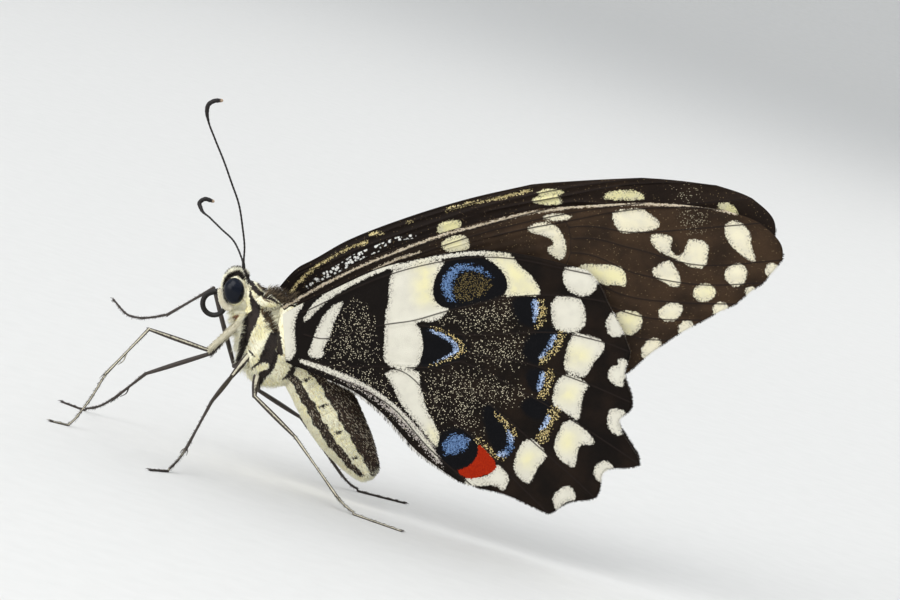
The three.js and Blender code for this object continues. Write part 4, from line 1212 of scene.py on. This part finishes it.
HINDWING_MARKS = {
    "cream": [
        [(303, 299), (290, 303), (277, 314), (274, 322), (278, 330), (281, 344), (285, 358), (295, 357),
         (298, 344), (296, 328), (298, 314), (306, 302)],
        [(304, 320), (312, 304), (326, 292), (345, 282), (369, 271), (398, 262), (400, 265), (372, 275),
         (348, 288), (331, 298), (318, 309), (309, 319)],
        [(308, 355), (314.5, 338), (320, 322), (328, 309), (342, 300), (344, 303), (335, 320),
         (331, 337), (325, 345), (325, 356)],
        [(390.5, 272), (389, 298), (386.5, 309), (385, 322), (384, 344), (384, 365), (402.6, 370),
         (417, 368.5), (423, 352), (424, 341), (420, 330), (416, 321), (437, 322), (452, 307),
         (440, 306), (433, 297), (433.4, 283.5), (439, 270), (447, 259), (420, 262), (400, 268)],
        [(383, 370), (391, 383), (399, 401), (409.5, 415), (423, 431), (433.6, 445), (439, 449),
         (440, 437), (435.5, 426), (428, 413), (423, 399), (420, 383), (419, 369)],
        [(390, 266), (425, 258), (451, 253), (483, 250.6), (500, 252), (514, 254.2), (500, 255.2),
         (483, 255), (452, 257), (425, 262), (392, 272)],
        [(481, 255), (497, 254), (513, 255), (517, 264), (531, 275), (540, 288), (539, 297), (520, 295),
         (503, 297), (507, 288), (506, 276), (498, 266)],
        [(550, 296), (575, 296), (583, 302), (586, 318), (583, 328), (574, 333), (560, 331),
         (552, 327.5)],
        [(572, 334), (581, 334), (590, 335.5), (602, 340), (605, 347), (598, 357), (593, 362),
         (588, 373), (582, 378), (571, 374), (563, 369), (565, 355), (568, 343)],
        [(563.5, 374), (575, 376), (590, 385), (584, 391), (581, 402), (580, 416), (577, 420.5),
         (568, 415), (556, 407.5), (551, 403), (555.5, 382)],
        [(565.5, 418), (582, 426), (595, 441), (592, 445.5), (583, 444), (577, 449), (576, 467),
         (569, 467), (557, 457.5), (553, 447), (555.5, 437)],
        [(525, 439.5), (534.5, 440), (547, 454), (544, 461), (538, 467), (534, 475), (530, 485),
         (520, 480.5), (513, 471), (514, 462), (518, 449)],
        [(496, 462), (510, 477), (504, 493), (494, 485), (480, 487), (466, 487), (464, 478), (478, 478),
         (490, 475)],
        [(562, 268), (575, 266), (590, 270), (598, 280), (594, 292), (584, 297), (570, 293), (563, 284)],
        [(606, 318), (612, 311), (622, 313), (626, 330), (618, 338), (608, 335), (605, 326)],
        [(607, 372), (611, 366), (618, 365), (616, 358), (626, 359), (632, 372), (622, 380), (624, 387),
         (615, 386), (608, 380)],
        [(607, 411), (612, 408), (627, 411), (621, 419), (620, 426), (622, 437), (613, 434), (607, 427)],
        [(601, 460), (609, 462.5), (615, 468), (607, 470), (603.5, 476), (602.5, 485), (595, 479),
         (592, 470)],
        [(563, 486), (572, 487.5), (577, 500), (568, 502), (562, 505), (556, 513), (551, 497)],
        [(300, 356), (320, 361), (341, 370), (362, 380), (390, 399), (414, 424), (432, 446), (440, 462),
         (434, 456), (416, 434), (400, 416), (380, 396), (358, 381.5), (339, 375), (320, 367),
         (302, 361)],
    ],
    "yellow": [
        [(414, 262), (436, 262), (436, 285), (440, 306), (418, 308), (412, 290)],
        [(481, 250), (515, 252), (535, 275), (545, 300), (500, 300), (506, 280)],
        [(560, 345), (590, 345), (590, 365), (560, 365)],
        [(560, 385), (580, 385), (575, 405), (555, 400)],
        [(560, 430), (580, 430), (575, 455), (555, 450)],
        [(520, 450), (540, 450), (535, 470), (515, 470)],
        [(426, 425), (440, 430), (442, 450), (430, 445)],
    ],
    "black": [
        [(433.5, 294), (434, 284), (438, 274), (446, 263.5), (457, 257), (471, 255.5), (483, 258.5),
         (494, 265.5), (502.5, 273), (507.5, 282), (506.5, 291), (499.5, 297), (483, 300.5),
         (464, 305.5), (451, 308.5), (441, 307), (435.5, 300)],
        [(421, 325), (440, 328), (459, 336), (471, 348), (461, 359), (442, 366), (420, 369), (424, 350)],
        [(510, 298), (530, 296), (540, 298), (540, 324), (530, 327), (516, 320)],
        [(520, 350), (534, 330), (556, 328), (558, 345), (544, 364), (532, 364)],
        [(524, 372), (540, 366), (546, 378), (540, 392), (530, 390)],
        [(520, 402), (536, 396), (552, 404), (548, 418), (536, 420), (524, 414)],
        [(481, 408), (492, 404), (506, 424), (514, 440), (510, 456), (498, 456), (488, 440)],
        [(436.5, 449), (440, 436), (449, 429), (460, 428.5), (471, 434), (477.5, 444), (477.5, 455),
         (472, 464), (462, 469.5), (451, 468.5), (441, 462)],
    ],
    "blue": [
        [(441, 294), (440, 284), (444, 273), (453, 264.5), (467, 261.5), (480, 265), (490, 271),
         (496, 279), (487, 277), (476, 271), (466, 271), (457, 277), (453, 286), (454, 295), (459, 302),
         (448, 303)],
        [(424, 328), (434, 330), (445, 334), (454, 340.5), (459.5, 347), (458.5, 352), (450, 357.5),
         (438, 362), (430, 364), (440, 358.5), (449, 353.5), (454, 348.5), (450, 343), (441, 337.5),
         (431, 333.5)],
        [(530, 298), (538, 298), (539, 312), (536, 323), (531, 322), (532, 310)],
        [(552, 331), (558, 334), (552, 347), (541, 360), (536, 358), (546, 346)],
        [(539, 369), (546, 372), (544, 383), (539, 393), (534, 391), (538, 380)],
        [(546, 414), (552, 416), (549, 424), (541, 432), (537, 429), (543, 423)],
        [(494, 454), (504, 450), (507, 440), (506, 428), (513, 434), (515, 446), (511, 455), (503, 459)],
        [(441, 450), (443, 440), (451, 433), (461, 432.5), (469, 437), (471, 444), (466, 451),
         (458, 455), (449, 458), (443, 456)],
    ],
    "olive": [
        [(452, 293), (452, 281), (461, 273), (476, 271), (489, 277), (493, 287), (484, 295), (466, 301),
         (456, 301)],
    ],
    "ash": [
        [(330, 369), (352, 374), (374, 388), (400, 408), (422, 432), (438, 454), (446, 470), (436, 463),
         (420, 445), (396, 418), (370, 394), (345, 380)],
    ],
    "gold": [
        [(428, 325.5), (446, 330), (459, 338.5), (467, 347.5), (464, 353.5), (452, 360), (440, 364),
         (426, 367), (438, 362), (450, 357.5), (458.5, 352), (459.5, 347), (454, 340.5), (445, 334),
         (434, 330)],
        [(537, 298), (545, 300), (547, 315), (541, 330), (534, 328), (538, 315)],
        [(558, 330), (566, 331), (562, 345), (552, 358), (540, 366), (536, 362), (549, 352), (556, 341)],
        [(545, 368), (554, 369), (552, 385), (545, 401), (536, 398), (541, 390), (545, 380)],
        [(546, 408), (560, 406), (562, 414), (552, 424), (549, 440), (541, 446), (535, 440), (539, 432),
         (549, 424)],
        [(492, 412), (500, 412), (514, 428), (518, 436), (514, 440), (504, 428)],
        [(472, 435), (482, 440), (494, 452), (506, 459), (504, 462), (492, 459), (478, 448)],
    ],
    "red": [
        [(477, 443), (487.5, 452), (497, 465), (494.5, 472), (487, 475), (478, 478.5), (466, 480),
         (455, 471), (464, 469), (473, 463), (478, 454)],
    ],
    "dust": [
        [(322, 352), (338, 318), (352, 303), (366, 302), (372, 318), (374, 340), (380, 362), (350, 359)],
        [(310, 362), (350, 364), (380, 370), (396, 402), (418, 428), (400, 418), (370, 392), (340, 374)],
        [(440, 318), (470, 306), (506, 297), (514, 300), (516, 322), (506, 333), (470, 332), (455, 324)],
        [(470, 336), (524, 334), (520, 350), (524, 368), (490, 366), (470, 358)],
        [(425, 372), (455, 370), (480, 372), (530, 392), (516, 402), (484, 404), (474, 412), (480, 436),
         (470, 432), (450, 424), (440, 428), (430, 408), (424, 388)],
        [(530, 336), (536, 340), (528, 352), (520, 348)],
        [(396, 414), (372, 394), (341, 376.5), (330, 371), (345, 372), (372, 388), (398, 408),
         (420, 430), (430, 446)],
    ],
}


def marked(wing, marks, plan, paths):
    """Numbers for the markings at each point of the plan, for the under face and then for the upper one."""
    x, z = plan[..., 0].ravel(), plan[..., 1].ravel()
    vein = np.full(x.shape, FAR)
    for path in paths:
        vein = np.minimum(vein, off_path(x, z, path))
    x, z = as_seen(x, wing["rest"], z)
    spots = ("cream", "under", "upper", "black", "blue", "gold", "olive", "red", "ash")
    values = {key: depth_in(x, z, marks.get(key, [])) for key in spots}
    faces = [np.maximum(values["cream"], values.pop(face)) for face in ("under", "upper")]
    values["vein"] = vein
    values["yellow"] = np.clip(depth_in(x, z, marks.get("yellow", [])) * 0.45 + 0.45, 0, 1)
    values["dust"] = np.clip(depth_in(x, z, marks.get("dust", [])) * 0.4 + 0.36, 0, 0.72)
    for key in ("lines", "streaks", "beads"):
        away = [off_path(x, z, drawn(line)) for line in marks.get(key, [])]
        values[key] = np.min(away, axis=0) if away else np.full(x.shape, FAR)
    values = {key: np.tile(v, 2) for key, v in values.items()}
    values["cream"] = np.concatenate(faces)
    values["upper"] = np.repeat([0.0, 1.0], x.size)
    return values


def wing_scales(deep, brown, pollen, bone, all_over):
    """Paint for a wing, from the colours of its ground, dust and pale marks, and the share of dust all over.
    A speck of dust, gold or blue shows where its own random number is under the share that the mark's depth
    gives."""

    def paint(shade, place):
        fine = shade.noise(place, 7.0, 2.0)
        odd, other = shade.chances(place, 9.0)
        ragged = (fine - 0.5) * 0.25 + (odd - 0.5) * 0.16
        upper = shade.read("upper")
        cream_depth = shade.read("cream") + ragged

        # The ground: brown-black, darker at the root, with pale dust, ash along the inner edge, and the pale
        # lines, streaks and beads of the front edge.
        chance, _ = shade.chances(place, 6.8)
        dot = shade.cells(place, 6.8).step(0.36, 0.22)
        dust = shade.read("dust") * (1 - upper * 0.6) + all_over
        warm = shade.noise(place, 0.35, 3.0).step(0.30, 0.75)
        outer = shade.node("SeparateXYZ", None, {0: place}).step(-6.0, 10.0)
        ground = (warm * outer).blend(deep, brown)
        ground = (0.5 - outer * 0.5).blend(ground, rgb(0.008, 0.006, 0.005))
        ground = (fine * 0.4 + upper * 0.5).blend(ground, rgb(0.010, 0.007, 0.006))
        bright = (shade.read("dust") * 1.2).blend(pollen, rgb(0.80, 0.72, 0.52))
        ground = (dot * (dust - chance).step(0.0, 0.06)).blend(ground, bright)
        ash = shade.maths("MINIMUM", shade.read("ash") * 1.5 + 0.30, 0.6)
        ground = (ash - odd).step(0.0, 0.10).blend(ground, rgb(0.46, 0.41, 0.37))
        broken = shade.noise(place, 1.6, 2.0).step(0.30, 0.60)
        streak = (0.60 + broken * 0.40 - shade.read("streaks") * 3.0 - odd).step(0.0, 0.10) * upper
        ground = streak.blend(ground, other.blend(rgb(0.34, 0.26, 0.10), rgb(0.80, 0.68, 0.36)))
        line = (1.15 - shade.read("lines") * 5.0 - odd).step(0.0, 0.10) * (1 - upper)
        ground = line.blend(ground, other.blend(rgb(0.40, 0.32, 0.21), rgb(0.62, 0.54, 0.42)))
        bead = shade.cells(place, 2.8).step(0.50, 0.36) * shade.read("beads").step(0.26, 0.18) * upper
        bead = bead * (fine + odd * 0.3).step(0.42, 0.52)
        ground = bead.blend(ground, rgb(0.86, 0.85, 0.80))

        # Black patches, and the pale marks with a stippled edge and soft patches of painted shade.
        black = (shade.read("black") + ragged).step(-0.35, 0.20)
        sharp = (shade.read("black") + ragged * 0.7).step(-0.04, 0.04)
        coat = black.blend(ground, rgb(0.0035, 0.0035, 0.0045))
        yellow = (shade.read("yellow") * 0.85 + upper).step(0.0, 1.0)
        pale = yellow.blend(bone, upper.blend(rgb(0.83, 0.77, 0.44), rgb(0.90, 0.84, 0.43)))
        # Soft darker patches at random over the pale marks: painted shade of the membrane's relief.
        pale = (shade.noise(place, 0.9, 3.0).step(0.35, 0.75) * 0.5).blend(pale, rgb(0.63, 0.60, 0.51))
        pale = (cream_depth.step(0.9, 0.0) * 0.35 * fine.step(0.3, 0.7)).blend(pale, rgb(0.50, 0.46, 0.37))
        cream = cream_depth.step(-0.02, 0.03) * (1 - sharp)
        coat = cream.blend(coat, pale)
        stipple = cream_depth.step(0.6, 0.0) * cream * other.step(0.70, 0.78)
        coat = (stipple * 0.7).blend(coat, rgb(0.10, 0.08, 0.07))

        # The eye spots and arcs: specks of olive, gold and blue, the red patch, and over all the dark veins.
        speck = shade.cells(place, 7.0).step(0.50, 0.34)
        luck, _ = shade.chances(place, 7.0)
        olive = shade.maths("MINIMUM", shade.read("olive") * 1.4 + 0.30, 0.80)
        grain = shade.cells(place, 9.0).step(0.50, 0.34) * (olive - odd).step(0.0, 0.08)
        coat = grain.blend(coat, other.blend(rgb(0.10, 0.07, 0.022), rgb(0.34, 0.26, 0.10)))
        gold = (shade.read("gold") * 2.6 + 0.50 - luck).step(0.0, 0.08)
        coat = (speck * gold).blend(coat, odd.blend(rgb(0.50, 0.36, 0.12), rgb(0.95, 0.79, 0.40)))
        beside_gold = shade.read("gold").step(-0.8, -0.1)
        share = shade.read("blue") * (beside_gold * 2.0 + 1.8) + beside_gold * 0.14 + 0.14
        blue = (share - odd).step(0.0, 0.08)
        silver = beside_gold.blend(rgb(0.15, 0.255, 0.46), rgb(0.50, 0.62, 0.84))
        coat = blue.blend(coat, (other * 1.2).blend(rgb(0.012, 0.030, 0.085), silver))
        red = (shade.read("red") + ragged * 0.8).step(-0.02, 0.05)
        coat = red.blend(coat, fine.blend(rgb(0.22, 0.005, 0.001), rgb(0.46, 0.030, 0.003)))
        nerve = shade.read("vein").step(0.10, 0.04)
        coat = (nerve * 0.85).blend(coat, rgb(0.016, 0.011, 0.009))
        return {
            "Base Color": coat,
            "Roughness": 0.62 + cream * 0.15,
            "Normal": shade.bump(shade.cells(place, 10.0) + fine * 0.5, 0.00003, 0.35),
        }

    return paint


matt = {"Specular IOR Level": 0.08}
fore_scales = wing_scales(
    deep=rgb(0.028, 0.017, 0.010), brown=rgb(0.062, 0.036, 0.019), pollen=rgb(0.17, 0.12, 0.06),
    bone=rgb(0.82, 0.76, 0.56), all_over=0.14,
)
hind_scales = wing_scales(
    deep=rgb(0.005, 0.0035, 0.0025), brown=rgb(0.017, 0.010, 0.006), pollen=rgb(0.74, 0.66, 0.47),
    bone=rgb(0.75, 0.72, 0.61), all_over=0.0,
)
wing_finish = {
    "forewing": finish("forewing_scales", fore_scales, matt),
    "hindwing": finish("hindwing_scales", hind_scales, matt),
}
edge_roots = {}
for kind, wing, marks in (("forewing", FOREWING, FOREWING_MARKS), ("hindwing", HINDWING, HINDWING_MARKS)):
    plan, fold, paths = wing_plan(wing)
    values = marked(wing, marks, plan, paths)
    vein, cream = [values[key].reshape(2, *plan.shape[:2])[0] for key in ("vein", "cream")]
    for word, side in SIDES.items():
        name = f"{kind}_{word}"
        points, faces = wing_sheet(wing, name, side, plan, fold, vein)
        piece = make(f"{name}_membrane", placed(points), faces, wing_finish[kind], values)
        attach(piece, f"{kind}_scales", name)
        edge_roots[name] = points.reshape(2, *plan.shape[:2], 3).mean(0), cream

# ---- Fringes of the wings -----------------------------------------------------------------------------
# A comb of hair-scales along each outer margin, white in the notches and dark on the vein ends, and longer
# grey hairs along the inner margin of the hindwings.


def fringe_coat(shade, place):
    odd = shade.read("odd")
    white = (shade.read("white") + (odd - 0.5) * 0.3).step(-0.02, 0.05)
    dark = odd.blend(rgb(0.016, 0.012, 0.010), rgb(0.070, 0.052, 0.040))
    return {"Base Color": white.blend(dark, rgb(0.86, 0.83, 0.76)), "Roughness": 0.8 - odd * 0.1}


fringe_finish = finish("fringe_hair", fringe_coat, {"Specular IOR Level": 0.3})


def along_edge(line, values, per_mm, own):
    """Random places along a line of points, with the line's direction, the value and the share of the length
    there."""
    s = lengths_along(line)
    at = np.sort(own.uniform(0, s[-1], int(per_mm * s[-1])))
    roots = np.stack([np.interp(at, s, c) for c in line.T], -1)
    tangent = np.stack([np.interp(at, s, c) for c in unit(np.gradient(line, axis=0)).T], -1)
    return roots, tangent, np.interp(at, s, values), at / s[-1]


def away_from(heart, roots, tangent):
    """Directions in the wing's plane, square to its edge and away from the middle of the wing."""
    out = unit(np.cross(tangent, (0, 1, 0)))
    return out * np.sign(((roots - heart) * out).sum(-1, keepdims=True))


MARGIN_COMB, INNER_COMB = 26, 30  # hairs to a millimetre
APEX_SPACE = 5  # the forewing's fringe begins at its apex, short of this many spaces between veins
for name, (middle, cream) in edge_roots.items():
    own = np.random.default_rng(len(name) * 7)
    heart = middle[middle.shape[0] // 2, middle.shape[1] // 2]
    first = APEX_SPACE * FOREWING["cols"] - 3 if name.startswith("forewing") else 0
    roots, tangent, white, way = along_edge(middle[-1, first:], cream[-1, first:], MARGIN_COMB, own)
    out = away_from(heart, roots, tangent)
    size = np.full(len(roots), 0.17)
    if name.startswith("hindwing"):
        stretch = slice(int(0.16 * len(middle)), int(0.98 * len(middle)))
        more, run, _, far = along_edge(middle[stretch, -1], cream[stretch, -1], INNER_COMB, own)
        swept = unit(away_from(heart, more, run) + 0.9 * run)
        roots, out, way = np.vstack([roots, more]), np.vstack([out, swept]), np.r_[way, far]
        white = np.r_[white, np.where(own.uniform(size=len(more)) < 0.6, 0.2, -0.2)]
        size = np.r_[size, 0.22 + 0.30 * np.sin(np.pi * far)]
    points, faces = tufts(roots, out, out, size, 0.06, len(name), spread=0.10)
    values = {"odd": np.repeat(own.uniform(0, 1, len(roots)), 7), "white": np.repeat(white, 7)}
    piece = make(f"{name}_fringe", placed(points), faces, fringe_finish, values)
    bake_map(piece, np.c_[0.01 + 0.98 * way, 0.5 + 0 * way])
    attach(piece, f"{name.split('_')[0]}_scales")
